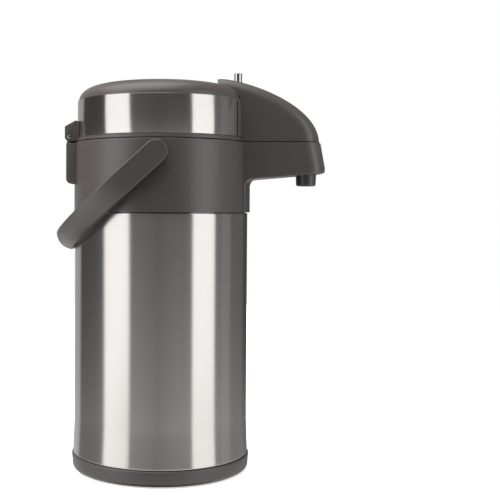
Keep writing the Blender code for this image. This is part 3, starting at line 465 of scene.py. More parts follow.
def shellSide(inset):
    # straight at the waist; above it the radius grows almost evenly, below it with a power of the distance
    waist, radius, foot, count = pick(shellLook, "waist radius foot sidePoints")
    high, low, taper, flare = pick(shellLook, "waistHigh waistLow taper flare")
    top = shellLook["ledgeHeight"] - shellLook["topRound"]
    bottom = boxOf("outer_shell")[0][2] + shellLook["footRound"]
    up = np.linspace(1, 0, count)
    down = np.linspace(0, 1, count)
    upper = np.stack([waist + (radius - waist) * up ** taper, high + (top - high) * up], axis=1)
    lower = np.stack([waist + (foot - waist) * down ** flare, low + (bottom - low) * down], axis=1)
    return np.concatenate([upper, lower]) - [inset, 0]


def shoulderOf(wall, neck, start, rise, steps=24):
    # a quarter of an ellipse from the neck out to the wall
    angle = np.linspace(quarter, 0, steps)
    return np.stack([neck + (wall - neck) * np.cos(angle), start + rise * np.sin(angle)], axis=1)


def makeOuterShell():
    # turned: neck, elliptic shoulder, ledge, side and foot, then back up with the wall taken off
    low, high = boxOf("outer_shell")
    radius, foot, wall, ledge = pick(shellLook, "radius foot wall ledgeHeight")
    bore, neck, rise = pick(shellLook, "neckBore neckRadius shoulderRise")
    topRound, footRound = pick(shellLook, "topRound footRound")
    step = radius - shellLook["ledge"]
    start = ledge + shellLook["shoulderStart"]
    hole = foot - shellLook["flange"]
    parts = [[(neck, high[2])], shoulderOf(step, neck, start, rise), [(step, ledge)],
             arcOf((radius - topRound, ledge - topRound), topRound, 90, 5), shellSide(0),
             arcOf((foot - footRound, low[2] + footRound), footRound, -5, -90),
             [(hole, low[2]), (hole, low[2] + wall)], shellSide(wall)[::-1], [(step - wall, ledge - wall)],
             shoulderOf(step - wall, bore, start, rise - wall)[::-1], [(bore, high[2])]]
    return solid("outerShell", turned(np.concatenate(parts), True, segments=256))


linerLook = {"bore": 38.2, "wall": 0.8, "corner": 14.0, "shoulderStart": 236.2, "shoulderRise": 24.0}


def linerSide(inset, low, high, radius):
    # neck, elliptic shoulder, quarter circle at the corner, and the floor to its middle
    bore, wall, start, rise = pick(linerLook, "bore wall shoulderStart shoulderRise")
    corner = linerLook["corner"] - inset
    neck = bore + wall - inset
    return np.concatenate([[(neck, high)], shoulderOf(radius - inset, neck, start, rise - inset),
                           arcOf((radius - inset - corner, low + inset + corner), corner, 0, -90, steps=12),
                           [(0, low + inset)]])


def makeInnerLiner():
    # turned: up the side with the wall taken off, then down the outer one
    low, high = boxOf("inner_liner")
    inside, outside = (linerSide(inset, low[2], high[2], high[0]) for inset in (linerLook["wall"], 0))
    return solid("innerLiner", turned(np.concatenate([inside[::-1], outside]), False, segments=160))


def ringOf(bore, radius, low, high, inner, outer):
    # corners of a ring's section, with the roundings at its bore and at its rim
    return [(bore, high, inner), (radius, high, outer), (radius, low, outer), (bore, low, inner)]


def makeRing(name, node, bore, edge):
    # a turned ring that fills the node's height and radius
    low, high = boxOf(node)
    return solid(name, spun(ringOf(bore, high[0], low[2], high[2], edge, edge), True, segments=128))


# Nose: upright sections from one flank to the other
noseLook = {"half": 30.0, "wall": 2.7, "frontRound": 22.0, "frontPower": 3.0, "topRound": 10.0,
            "ridgeStart": 53.3, "ridgeEnd": 55.6, "ridge": 365.7, "ridgeEdge": 1.2, "tip": 149.0, "lip": 1.3,
            "lipEdge": 0.5, "split": 307.3, "past": 0.8, "fallStart": (13.7, 1.3), "fallEnd": (-2.2, 39.9),
            "chin": 154.4, "chinHeight": 283.6, "chinRound": 2.0, "root": 90.7, "rootHeight": 273.0,
            "slope": 0.088, "rootFillet": 7.5, "edge": 1.0, "rows": 56, "steps": 40}


def noseRows(half):
    # places across the nose on a cosine, which sets them closer at the flanks
    return -half * np.cos(np.linspace(0, math.pi, noseLook["rows"] + 1))


def frontPull(across, half):
    # how far the rounded front lies behind its tip: a superellipse in plan
    share = np.minimum(np.abs(across) / half, 1)
    power = noseLook["frontPower"]
    return noseLook["frontRound"] * (1 - (1 - share ** power) ** (1 / power))


def roundDrop(across, half, radius):
    # how far a rounded edge lies below its face: a quarter circle near the flank
    past = np.maximum(np.abs(across) - (half - radius), 0)
    return radius - np.sqrt(np.maximum(radius ** 2 - past ** 2, 0))


def cubicCurve(points, steps):
    # four points weighted by powers of the share along the curve and of its rest
    share = np.linspace(0, 1, steps)[:, None]
    rest = 1 - share
    start, first, second, end = (np.array(point, float) for point in points)
    outer = rest ** 3 * start + 3 * rest ** 2 * share * first
    return outer + 3 * rest * share ** 2 * second + share ** 3 * end


def arcColumns(along, height, radius, start, end, steps=9):
    # an arc round a centre that may differ from row to row
    angles = np.radians(np.linspace(start, end, steps))
    return [(along + radius * math.cos(angle), height + radius * math.sin(angle)) for angle in angles]


def stacked(name, columns, across):
    # a solid of section columns (x, z), each one number or one value per row
    rows = len(across)
    along, height = (np.stack([np.broadcast_to(column[axis], rows) for column in columns], axis=1)
                     for axis in (0, 1))
    sideways = np.broadcast_to(across[:, None], along.shape)
    return solid(name, lofted(np.stack([along, sideways, height], axis=-1)))


coverLook = {"radius": 79.1, "bore": 76.5, "bottom": 311.0, "bandRadius": 79.9, "domeEdge": 346.4,
             "domeStep": 0.9, "domeIn": 2.9, "domeShoulder": 359.5, "domeSteps": 28, "guideBore": 52.8,
             "guideWall": 2.4, "guideBottom": 345.8, "rim": 361.6, "wall": 2.6, "notch": 73.7,
             "rimRound": ((0.0, -0.7), (0.25, -0.15), (0.8, 0.1)), "stripHalf": 35.9, "stripRadius": 81.3,
             "stripSlope": 4.0, "stripRound": 3.0, "stripEdge": 1.1, "stripRows": 81}


def upperNose(name, inset):
    # the ridge runs back over the lid; its top falls to the split on a cubic curve
    ridgeEnd, ridge, tip, split, edge, steps = pick(noseLook, "ridgeEnd ridge tip split ridgeEdge steps")
    half = noseLook["half"] - inset
    across = noseRows(half)
    pull = frontPull(across, half)
    top = ridge - inset - roundDrop(across, half, noseLook["topRound"])
    back = noseLook["ridgeStart"] + inset
    if inset:
        floor = split - (noseLook["past"] + inset)
        lowerBack = coverLook["radius"] + touchGap
        shelf = coverLook["guideBottom"] - inset
    else:
        floor = split
        lowerBack = coverLook["notch"]
        shelf = coverLook["domeEdge"] + coverLook["wall"]
    start = np.array([ridgeEnd, ridge])
    end = np.array([tip, split])
    fall = cubicCurve([start, start + noseLook["fallStart"], end + noseLook["fallEnd"], end], steps)
    length = tip - ridgeEnd
    columns = [(back, shelf), *arcColumns(back + edge, top - edge, edge, 180, 90, steps=6)]
    for along, height in fall:
        share = (along - ridgeEnd) / length
        above = (height - split) / (ridge - split)
        drawnBack = ridgeEnd + inset + share * (length - 2 * inset - pull)
        columns.append((drawnBack, split + above * (top - split)))
    columns[-1] = (columns[-1][0], floor)
    columns += [(lowerBack, floor), (lowerBack, shelf)]
    return stacked(name, columns, across)


collarLook = {"radius": 82.7, "flare": 0.3, "flareHeight": 3.0, "wall": 3.0, "bottom": 241.5, "top": 306.6,
              "edge": 0.9, "deckTop": 287.0, "deckThick": 3.0, "deckHole": 42.0, "padProud": 1.6,
              "padEdge": 0.8, "nozzleHole": 10.1, "holeLow": 260.0, "holeHigh": 282.0}


def underside(along):
    # height under the nose: a straight slope from its root
    return noseLook["rootHeight"] + noseLook["slope"] * (along - noseLook["root"])


def lowerNose(name):
    # flat top at the split, sloping front, rounded chin, underside and a pad down the collar's front
    half, turn, fillet, cut = pick(noseLook, "half chinRound rootFillet lipEdge")
    radius, top, bottom, padEdge = pick(collarLook, "radius top bottom padEdge")
    across = noseRows(half)
    pull = frontPull(across, half)
    soft = roundDrop(across, half, noseLook["edge"])
    inside = np.sqrt((radius - collarLook["wall"] / 2) ** 2 - across ** 2)
    pad = np.sqrt((radius + collarLook["padProud"]) ** 2 - across ** 2) - roundDrop(across, half, padEdge)
    chin = noseLook["chin"] - pull
    under = underside(chin - turn) + soft
    front = noseLook["tip"] + noseLook["lip"] - pull
    root = pad + fillet
    columns = [(inside, top), (front - cut, top), (front, top - cut), (chin, noseLook["chinHeight"]),
               *arcColumns(chin - turn, under + turn, turn, 0, -90),
               *arcColumns(root, underside(root) - fillet + soft, fillet, 90, 180),
               (pad, bottom), (inside, bottom)]
    return stacked(name, columns, across)


def lowerHollow(name):
    # the lower nose with its wall taken off, open at the top and into the collar
    wall, root, chinHeight = pick(noseLook, "wall root chinHeight")
    half = noseLook["half"] - wall
    across = noseRows(half)
    pull = frontPull(across, half)
    back = coverLook["bore"] - collarLook["wall"]
    top = collarLook["top"] + wall
    chin = noseLook["chin"] - wall - pull
    tip = noseLook["tip"] + noseLook["lip"] - wall - pull
    columns = [(back, top), (tip, top), (chin, chinHeight), (chin, underside(chin) + wall),
               (back, underside(root) + wall)]
    return stacked(name, columns, across)


hingeLook = {"half": 28.5, "blockBack": 87.5, "blockInside": 77.0, "blockTop": 305.5, "blockLow": 267.4,
             "blockRound": 5.0, "edge": 0.8, "knuckle": 4.2, "knuckleHalf": 15.2, "earHeight": 15.2,
             "earBack": 9.8, "earPeak": 5.7, "earDepth": 10.6, "earRound": 4.6, "earFoot": 285,
             "peakRound": 0.8, "backRound": 1.2, "earEdge": 0.5, "pinHole": 2.3, "pinEdge": 0.9,
             "pinReach": 60.0}


def knuckleOutline():
    # round over the pin, straight down into the hinge block
    knuckle = hingeLook["knuckle"]
    low = hingeLook["blockTop"] - knuckle
    top = arcOf((pinX, pinZ), knuckle, 0, 180, steps=24)
    return np.concatenate([top, [(pinX - knuckle, low), (pinX + knuckle, low)]])


def makeCollar():
    # turned wall with a deck; nose, hinge block and knuckle are joined to it, hollow and nozzle hole cut
    radius, wall, top, bottom, deckTop, hole = pick(collarLook, "radius wall top bottom deckTop deckHole")
    inside = radius - wall
    deckLow = deckTop - collarLook["deckThick"]
    flare, flareHeight, edge = pick(collarLook, "flare flareHeight edge")
    corners = [(inside, top, 0.4), (radius, top, edge), (radius, bottom + flareHeight),
               (radius + flare, bottom, 0.3), (inside, bottom, 0.3), (inside, deckLow, 0.5),
               (hole, deckLow, 0.3), (hole, deckTop, 0.5), (inside, deckTop, 1.0)]
    collar = solid("collarBody", spun(corners, True, segments=256))
    front, back, high, low = pick(hingeLook, "blockInside blockBack blockTop blockLow")
    half, edge, knuckle = pick(hingeLook, "half edge knuckleHalf")
    block = filleted([(-front, high), (-back, high, edge), (-back, low, hingeLook["blockRound"]),
                      (-front, low)], True, steps=8)
    hinge = solid("hingeBlock", plated(block, -half, half, edge))
    knuckleForm = solid("knuckleForm", plated(knuckleOutline(), -knuckle, knuckle, edge=0.3))
    collar = combined(collar, "UNION", lowerNose("lowerNoseForm"), hinge, knuckleForm)
    low, high = boxOf("nozzle")
    size = pick(collarLook, "nozzleHole holeLow holeHigh")
    nozzleHole = drill("nozzleHole", *size, ((low[0] + high[0]) / 2, 0, 0))
    return combined(collar, "DIFFERENCE", lowerHollow("lowerNoseHollow"), nozzleHole)


dress(makeFootPad(**padLook), "flask", "foot_rubber", "foot_pad")
dress(makeBaseCup(**baseLook), "flask", "grey_plastic", "base_cup")
dress(makeOuterShell(), "flask", "brushed_shell", "outer_shell")
dress(makeInnerLiner(), "flask", "liner_steel", "inner_liner")
dress(makeRing("neckGasket", "neck_gasket", linerLook["bore"], edge=0.8), "flask", "silicone", "neck_gasket")
dress(makeCollar(), "flask", "grey_plastic", "collar")
print("flask done")


# Mouth and tubes
mouthLook = {"bore": 38.5, "radius": 46.0, "flange": 56.0, "flangeThick": 2.5, "edge": 1.2, "pipeHole": 7.6,
             "holeFrom": 20.0, "holeTo": 60.0}
tubeLook = {"pipe": 5.5, "pipeBore": 4.0, "height": 296.0, "bend": 10.0, "dip": 4.6, "dipBore": 3.6,
            "grommet": 7.3, "grommetBore": 5.8}


def makeMouthRing(bore, radius, flange, flangeThick, edge, pipeHole, holeFrom, holeTo):
    # turned ring on a flange, drilled along X for the pipe
    low, high = boxOf("mouth_ring")
    step = low[2] + flangeThick
    corners = [(bore, high[2], edge), (radius, high[2], edge), (radius, step, 0.8), (flange, step, 0.6),
               (flange, low[2], 0.3), (bore, low[2], 0.3)]
    hole = drill("mouthPipeHole", pipeHole, holeFrom, holeTo, (0, 0, tubeLook["height"]), "X")
    return combined(solid("mouthRing", spun(corners, True, segments=160)), "DIFFERENCE", hole)


def makeDipTube():
    # turned: a plain tube, rounder at its foot
    low, high = boxOf("dip_tube")
    radius, bore = pick(tubeLook, "dip dipBore")
    corners = [(bore, high[2], 0.2), (radius, high[2], 0.2), (radius, low[2], 0.4), (bore, low[2], 0.4)]
    return solid("dipTube", spun(corners, True, segments=40, steps=3))


def makeSpoutPipe():
    # circles carried along a level run, a quarter bend and a drop
    low, high = boxOf("spout_pipe")
    radius, bore, bend, height = pick(tubeLook, "pipe pipeBore bend height")
    end = high[0] - radius
    curve = arcOf((end - bend, height - bend), bend, 90, 0, steps=20)
    flat = np.concatenate([[(low[0], height)], curve, [(end, low[2])]])
    path = np.stack([flat[:, 0], 0 * flat[:, 0], flat[:, 1]], axis=1)
    side = np.broadcast_to([0.0, 1.0, 0.0], path.shape)
    return solid("spoutPipe", piped(path, side, radius, bore, segments=40))


headLook = {"topEdge": 1.6, "lowEdge": 0.6, "barHalf": 5.0, "barLow": 287.6, "barHigh": 290.6, "barEdge": 0.8}


def makeTubeHead(topEdge, lowEdge, barHalf, barLow, barHigh, barEdge):
    # turned hub, joined to a flat bar towards the back
    low, high = boxOf("tube_head")
    corners = [(0, high[2]), (high[0], high[2], topEdge), (high[0], low[2], lowEdge), (0, low[2])]
    bar = blockOf((low[0], -barHalf, barLow), (0, barHalf, barHigh), barEdge)
    return combined(solid("tubeHead", spun(corners, False, segments=64)), "UNION", solid("tubeBar", bar))


def makeGrommet():
    # turned ring, laid along X
    low, high = boxOf("pipe_grommet")
    half = (high[0] - low[0]) / 2
    corners = ringOf(tubeLook["grommetBore"], tubeLook["grommet"], -half, half, 0.4, 0.4)
    ring = spun(corners, True, segments=48, steps=3)
    return solid("pipeGrommet", moved(ring, ((low[0] + high[0]) / 2, 0, tubeLook["height"]), "X"))


nozzleLook = {"top": 9.8, "tip": 9.2, "bore": 5.0, "flange": 12.0, "flangeLow": 281.2, "flangeThick": 2.4,
              "edge": 1.6, "socket": 5.8, "socketWall": 2.4}


def makeNozzle(top, tip, bore, flange, flangeLow, flangeThick, edge, socket, socketWall):
    # turned: the pipe's socket, a flange, and a tip that narrows a little
    low, high = boxOf("nozzle")
    flangeTop = flangeLow + flangeThick
    outer = socket + socketWall
    corners = [(socket, high[2], 0.3), (outer, high[2], 0.4), (outer, flangeTop, 0.4),
               (flange, flangeTop, 0.4), (flange, flangeLow, 0.3), (top, flangeLow, 0.3), (tip, low[2], edge),
               (bore, low[2], 0.6), (bore, flangeTop + touchGap), (socket, flangeTop + touchGap)]
    return solid("nozzleTip", moved(spun(corners, True, segments=96), ((low[0] + high[0]) / 2, 0, 0)))


screwLook = {"radius": 1.5, "head": 3.0, "dome": 0.45, "tip": 1.0, "slotHalf": 0.45, "slotReach": 1.9,
             "slotDepth": 0.8, "slotEdge": 0.1}


def makeScrew(node, headHeight, flip):
    # pan head with a cross recess; made head up, then turned over where the head is below
    low, high = boxOf(node)
    middle = (low + high) / 2
    length = high[2] - low[2]
    radius, head, dome, tip, half, reach = pick(screwLook, "radius head dome tip slotHalf slotReach")
    crown = np.linspace(0, 1, meshLook["crownPoints"])
    top = np.stack([head * crown, length - dome * crown ** 2], axis=1)
    neck = length - headHeight
    under = filleted([(head, length - dome), (head, neck, 0.2), (radius, neck, 0.2), (radius, tip, 0.3),
                      (0, 0)])
    piece = solid(node + "_fine", turned(np.concatenate([top, under[1:]]), False, segments=40))
    deep = length - screwLook["slotDepth"]
    for name, width, depth in (("slotA", reach, half), ("slotB", half, reach)):
        slot = blockOf((-width, -depth, deep), (width, depth, length + 1), screwLook["slotEdge"])
        combined(piece, "DIFFERENCE", solid(name, slot))
    if flip:
        piece.data.transform(Matrix.Rotation(math.pi, 4, "X"))
        piece.data.transform(Matrix.Translation((0, 0, length * mm)))
    piece.data.transform(Matrix.Translation((middle[0] * mm, middle[1] * mm, low[2] * mm)))
    return piece


dress(makeMouthRing(**mouthLook), "flask", "black_plastic", "mouth_ring")
dress(makeDipTube(), "flask", "liner_steel", "dip_tube")
dress(makeSpoutPipe(), "flask", "liner_steel", "spout_pipe")
dress(makeTubeHead(**headLook), "flask", "black_plastic", "tube_head")
dress(makeGrommet(), "flask", "black_rubber", "pipe_grommet")
dress(makeNozzle(**nozzleLook), "flask", "black_plastic", "nozzle")
screws = {"base": {"body": "flask", "headHeight": 1.2, "flip": True},
          "mouth": {"body": "flask", "headHeight": 1.9, "flip": False},
          "lid": {"body": "lid", "headHeight": 1.9, "flip": True}}
for index in (1, 2, 3):
    for place, look in screws.items():
        node = f"{place}_screw_{index}"
        dress(makeScrew(node, look["headHeight"], look["flip"]), look["body"], "screw_steel", node)
print("mouth and tubes done")


# Hinge pin and lid
def makeHingePin():
    # turned rod with rounded ends, laid along Y
    low, high = boxOf("hinge_pin")
    half = high[1]
    radius = (high[2] - low[2]) / 2
    edge = hingeLook["pinEdge"]
    corners = [(0, half), (radius, half, edge), (radius, -half, edge), (0, -half)]
    return solid("hingePin", moved(spun(corners, False, segments=40, steps=8), (pinX, 0, pinZ), "Y"))


lidLook = {"rim": 81.5, "rimStep": 0.7, "rimLow": 307.3, "rimHigh": 310.7, "stepHeight": 309.0, "ring": 76.2,
           "ringWall": 2.2, "ringTop": 318.4, "floorLow": 308.4, "floorHigh": 310.9, "ribIn": 47.1,
           "ribOut": 49.1, "ribLow": 304.9, "stemHole": 2.5, "noseNotch": 73.4}
cutLook = {"low": 290.0, "high": 330.0, "reach": 120.0, "edge": 0.2, "hollowTop": 340.0}  # well past the base


def earOutline():
    # round under the pin, upright at the back, a slant up to a peak, then a quarter circle down to the lid
    knuckle, turn, depth = pick(hingeLook, "knuckle earRound earDepth")
    rimLow = lidLook["rimLow"]
    top = pinZ + hingeLook["earHeight"]
    front = pinX + depth
    low = arcOf((pinX, pinZ), knuckle, 180, hingeLook["earFoot"], steps=14)
    crown = arcOf((front - turn, top - turn), turn, 0, 90, steps=10)
    slant = filleted([tuple(crown[-1]), (pinX + hingeLook["earPeak"], top, hingeLook["peakRound"]),
                      (pinX - knuckle, pinZ + hingeLook["earBack"], hingeLook["backRound"]), tuple(low[0])])
    return np.concatenate([low, [(pinX + knuckle, rimLow), (front, rimLow)], crown, slant[1:-1]])


def makeLidBase(rim, rimStep, rimLow, rimHigh, stepHeight, ring, ringWall, ringTop, floorLow, floorHigh,
                ribIn, ribOut, ribLow, stemHole, noseNotch):
    # turned: floor, ring, stepped rim and a rib below; ears are joined, room for pin, knuckle and nose is cut
    inside = ring - ringWall
    step = rim - rimStep
    corners = [(stemHole, floorHigh), (inside, floorHigh, 0.8), (inside, ringTop, 0.3), (ring, ringTop, 0.3),
               (ring, rimHigh, 0.3), (step, rimHigh, 0.4), (step, stepHeight, 0.2), (rim, stepHeight, 0.4),
               (rim, rimLow, 0.4), (inside, rimLow, 0.4), (inside, floorLow, 0.5), (ribOut, floorLow, 0.4),
               (ribOut, ribLow, 0.5), (ribIn, ribLow, 0.5), (ribIn, floorLow, 0.3), (stemHole, floorLow)]
    base = solid("lidBase", spun(corners, True, segments=224, steps=4))
    half, edge, reach = pick(hingeLook, "half earEdge pinReach")
    inner = hingeLook["knuckleHalf"] + touchGap
    for near, far in ((-half, -inner), (inner, half)):
        ear = solid("ear", plated(earOutline(), near, far, edge))
        bandClear = coverLook["bandRadius"] + touchGap
        hollow = drill("earHollow", bandClear, rimHigh, cutLook["hollowTop"], segments=224)
        base = combined(base, "UNION", combined(ear, "DIFFERENCE", hollow))
    tools = [drill("pinTool", hingeLook["pinHole"], -reach, reach, (pinX, 0, pinZ), "Y", segments=40)]
    nose = noseLook["half"] + touchGap
    low, high, away, edge = pick(cutLook, "low high reach edge")
    for name, start, end, wide in (("knuckleTool", -away, pinX + hingeLook["knuckle"] + touchGap, inner),
                                   ("noseTool", noseNotch, away, nose)):
        tools.append(solid(name, blockOf((start, -wide, low), (end, wide, high), edge)))
    return combined(base, "DIFFERENCE", *tools)


def domeCurve(inset):
    # a quadratic curve from the button's rim over the shoulder to the band
    bore, rim, radius, edge = pick(coverLook, "guideBore rim bandRadius domeEdge")
    share = np.linspace(0, 1, coverLook["domeSteps"])[:, None]
    first = np.array([bore + inset, rim - inset])
    control = np.array([radius - coverLook["domeIn"] - inset, coverLook["domeShoulder"] - inset])
    last = np.array([radius - coverLook["domeStep"] - inset, edge - inset])
    return (1 - share) ** 2 * first + 2 * share * (1 - share) * control + share ** 2 * last


lockLook = {"slot": 4.15, "slotLow": 357.6, "slotHigh": 376.0, "slotEdge": 1.0, "travel": 6.0, "post": 3.75,
            "dome": 0.5, "domeEnd": 0.8, "postEdge": 0.6, "postFoot": 1.2, "plateDrop": 3.5, "plateHalf": 7.0,
            "plateThick": 2.5, "plateFront": 3.5, "plateEdge": 0.4, "tongueHalf": 4.0, "tongueLong": 3.0,
            "tongueEdge": 0.3}


def makeLidCover():
    # turned: dome, wall and the button's guide; strips and nose are joined, hollow and slot are cut
    radius, bore, bottom, edge, rim, wall = pick(coverLook, "radius bore bottom domeEdge rim wall")
    guideBore, guideWall, guideLow = pick(coverLook, "guideBore guideWall guideBottom")
    guide = guideBore + guideWall
    rounding = np.array(coverLook["rimRound"])  # two points on the guide, then the dome's first one
    dome = domeCurve(0)
    dome[0] += rounding[2]
    parts = [dome, [(radius, edge), (radius, bottom), (bore, bottom)], domeCurve(wall)[:0:-1],
             [(guide, rim - wall), (guide, guideLow), (guideBore, guideLow)], [guideBore, rim] + rounding[:2]]
    cover = solid("lidCover", turned(np.concatenate(parts), True, segments=256))
    # the plastic strips beside the nose stand out to the rim, and their upright edges are rounded
    band, outer, slope = pick(coverLook, "bandRadius stripRadius stripSlope")
    strip = filleted([(bore, edge), (band - coverLook["domeStep"], edge),
                      (outer, edge - slope, coverLook["stripRound"]), (outer, bottom, 0.4),
                      (bore, bottom)], True, steps=5)
    widest = math.asin(coverLook["stripHalf"] / outer)
    angle = widest * np.sin(np.linspace(-quarter, quarter, coverLook["stripRows"]))[:, None]
    back = roundDrop(angle * outer, widest * outer, coverLook["stripEdge"])
    reach = np.where(strip[:, 0] > band, strip[:, 0] - back, strip[:, 0])
    window = solid("bandWindow", lofted(carried(reach, strip[:, 1], angle)))
    cover = combined(cover, "UNION", window, upperNose("upperNoseForm", 0))
    slot, low, high, travel = pick(lockLook, "slot slotLow slotHigh travel")
    lockX = boxOf("lock_slider")[1][0] - lockLook["post"]
    slotForm = blockOf((lockX - slot - travel, -slot, low), (lockX + slot, slot, high), lockLook["slotEdge"])
    hollow = upperNose("upperNoseHollow", noseLook["wall"])
    return combined(cover, "DIFFERENCE", hollow, solid("lockSlot", slotForm))


bandLook = {"end": 36.2, "thick": 0.5, "innerEdge": 0.15, "outerEdge": 0.4, "stations": 300}


def makeLidBand(end, thick, innerEdge, outerEdge, stations):
    # the band is a closed strip carried round the lid, open at the nose
    low, high = boxOf("lid_band")
    radius = -low[0]
    strip = filleted(ringOf(radius - thick, radius, low[2], high[2], innerEdge, outerEdge), True, steps=4)
    start = math.asin(end / radius)
    angle = np.linspace(start, fullTurn - start, stations)[:, None]
    return solid("lidBand", lofted(carried(strip[:, 0], strip[:, 1], angle)))


valveLook = {"stem": 2.2, "barb": 3.6, "barbEdge": 0.6}


def makeValve(stem, barb, barbEdge):
    # turned: a disc under the lid's floor, a stem through it and a barb above
    low, high = boxOf("valve_disc")
    floorLow = lidLook["floorLow"] - touchGap
    floorHigh = lidLook["floorHigh"] + touchGap
    corners = [(0, high[2]), (stem, high[2], barbEdge), (barb, floorHigh, 0.4), (stem, floorHigh),
               (stem, floorLow, 0.3), (high[0], floorLow, 0.4), (high[0], low[2], 0.4), (0, low[2])]
    return solid("airValve", spun(corners, False, segments=64))


dress(makeHingePin(), "flask", "bright_steel", "hinge_pin")
dress(makeLidBase(**lidLook), "lid", "grey_plastic", "lid_base")
dress(makeRing("lidGasket", "lid_gasket", mouthLook["bore"], edge=1.0), "lid", "silicone", "lid_gasket")
dress(makeLidCover(), "lid", "grey_plastic", "lid_cover")
dress(makeLidBand(**bandLook), "lid", "band_steel", "lid_band")
dress(makeValve(**valveLook), "lid", "black_rubber", "valve_disc")
print("lid done")


# Pump and lock
buttonLook = {"gap": 0.8, "wall": 2.0, "plate": 4.2, "flange": 1.8, "flangeThick": 2.4, "edge": 1.0,
              "crownEnd": 0.985, "points": 60, "grooveAt": 0.86, "grooveDepth": 0.35, "grooveWidth": 0.012}


def makeButton(gap, wall, plate, flange, flangeThick, edge, crownEnd, points, grooveAt, grooveDepth,
               grooveWidth):
    # the crown is a parabola, with a groove round it that falls off like a bell curve
    low, high = boxOf("pump_button")
    radius = coverLook["guideBore"] - gap
    rim = coverLook["rim"]
    share = np.linspace(0, crownEnd, points)
    groove = grooveDepth * np.exp(-((share - grooveAt) / grooveWidth) ** 2)
    crown = np.stack([share * radius, high[2] - (high[2] - rim) * share ** 2 - groove], axis=1)
    inside = radius - wall
    outside = radius + flange
    step = low[2] + flangeThick
    under = rim - plate
    skirt = filleted([tuple(crown[-1]), (radius, rim, edge), (radius, step, 0.4), (outside, step, 0.4),
                      (outside, low[2], 0.4), (inside, low[2], 0.4), (inside, under, 1.0), (0, under)])
    return solid("pumpButton", turned(np.concatenate([crown[:-1], skirt]), False, segments=192))


bellowsLook = {"folds": 5, "perFold": 16, "wall": 1.2, "depth": 6.0}


def makeBellows(folds, perFold, wall, depth):
    # the wall swings in and out on a cosine between the two end rings
    low, high = boxOf("bellows")
    share = np.linspace(0, 1, perFold * folds + 1)
    swing = depth * (0.5 - 0.5 * np.cos(fullTurn * folds * share))
    outside = np.stack([high[0] - swing, high[2] + (low[2] - high[2]) * share], axis=1)
    inside = (outside - [wall, 0])[::-1]
    return solid("bellowsSkin", turned(np.concatenate([outside, inside]), True, segments=96))


springLook = {"radius": 22.0, "wire": 1.1, "turns": 6, "perTurn": 40}


def makeSpring(radius, wire, turns, perTurn):
    # a helix between the lid's floor and the button's plate
    low, high = boxOf("return_spring")
    share = np.linspace(0, 1, perTurn * turns + 1)
    outward = carried(1, 0 * share, fullTurn * turns * share)
    path = radius * outward
    path[:, 2] = low[2] + wire + (high[2] - low[2] - 2 * wire) * share
    return solid("returnSpring", piped(path, outward, wire, 0, segments=14))


def makeLock():
    # turned post with a parabola for its top, joined to a flat plate and a tongue
    low, high = boxOf("lock_slider")
    post, dome, foot = pick(lockLook, "post dome postFoot")
    middle = high[0] - post
    plateTop = noseLook["ridge"] - noseLook["wall"] - touchGap - lockLook["plateDrop"]
    crown = np.linspace(0, lockLook["domeEnd"], meshLook["crownPoints"])
    top = np.stack([post * crown, high[2] - dome * crown ** 2], axis=1)
    side = filleted([tuple(top[-1]), (post, high[2] - dome, lockLook["postEdge"]), (post, plateTop - foot),
                     (0, plateTop - foot)])
    knob = turned(np.concatenate([top[:-1], side]), False, segments=48)
    knob = solid("lockKnob", moved(knob, (middle, 0, 0)))
    wide, thick, front, edge = pick(lockLook, "plateHalf plateThick plateFront plateEdge")
    plate = blockOf((low[0], -wide, plateTop - thick), (middle + front, wide, plateTop), edge)
    wide, long, edge = pick(lockLook, "tongueHalf tongueLong tongueEdge")
    tongue = blockOf((low[0], -wide, low[2]), (low[0] + long, wide, plateTop - edge), edge)
    return combined(knob, "UNION", solid("lockPlate", plate), solid("lockTongue", tongue))


bellows = dress(makeBellows(**bellowsLook), "lid", "black_rubber", "bellows")
spring = dress(makeSpring(**springLook), "lid", "bright_steel", "return_spring")
pressRange = joints["pump_press"]["range_m"][1] / mm
for squeezed, node in ((bellows, "bellows"), (spring, "return_spring")):
    low, high = boxOf(node)
    keep = 1 - pressRange / (high[2] - low[2])
    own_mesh(squeezed)
dress(makeButton(**buttonLook), "pump", "grey_plastic", "pump_button")
dress(makeLock(), "lock", "lock_chrome", "lock_slider")
print("pump and lock done")


# Handle
handleLook = {"rest": 43.4, "inside": 84.2, "thick": 5.6, "width": 21.0, "edge": 1.2, "bowEdge": 2.7,
              "crown": 1.4, "bowCorner": 0.8, "straight": 30.0, "lift": 4.0, "lean": 0.6, "stations": 200,
              "finePath": 2001, "facePoints": 33, "endSteps": 20}


def handlePath(middle, bow):
    # straight arms from the pivots, then half an ellipse round the bow, in equal steps
    angle = np.linspace(-quarter, quarter, handleLook["finePath"])
    straight = handleLook["straight"]
    reach = np.concatenate([[0], straight + (bow - straight) * np.cos(angle), [0]])
    across = np.concatenate([[-middle], middle * np.sin(angle), [middle]])
    run = np.concatenate([[0], np.cumsum(np.hypot(np.diff(reach), np.diff(across)))])
    even = np.linspace(0, run[-1], handleLook["stations"])
    return np.stack([-np.interp(even, run, reach), np.interp(even, run, across)], axis=1)


def strapOutline(arch):
    # thickness and width of the strap: the outer face is flat on the arms and a parabola on the bow
    edge, crown, bowEdge, bowCorner = pick(handleLook, "edge crown bowEdge bowCorner")
    thick = handleLook["thick"] / 2
    wide = handleLook["width"] / 2
    across = wide * np.sin(np.linspace(quarter, -quarter, handleLook["facePoints"]))
    plain = thick - roundDrop(across, wide, edge)
    bulge = crown - (crown + bowEdge) * (across / wide) ** 2
    arched = thick + bulge - roundDrop(across, wide, bowCorner)
    outer = np.stack([plain + (arched - plain) * arch, across], axis=1)
    inner = filleted([tuple(outer[-1]), (-thick, -wide, edge), (-thick, wide, edge), tuple(outer[0])],
                     steps=7)
    return np.concatenate([outer, inner[1:-1]])


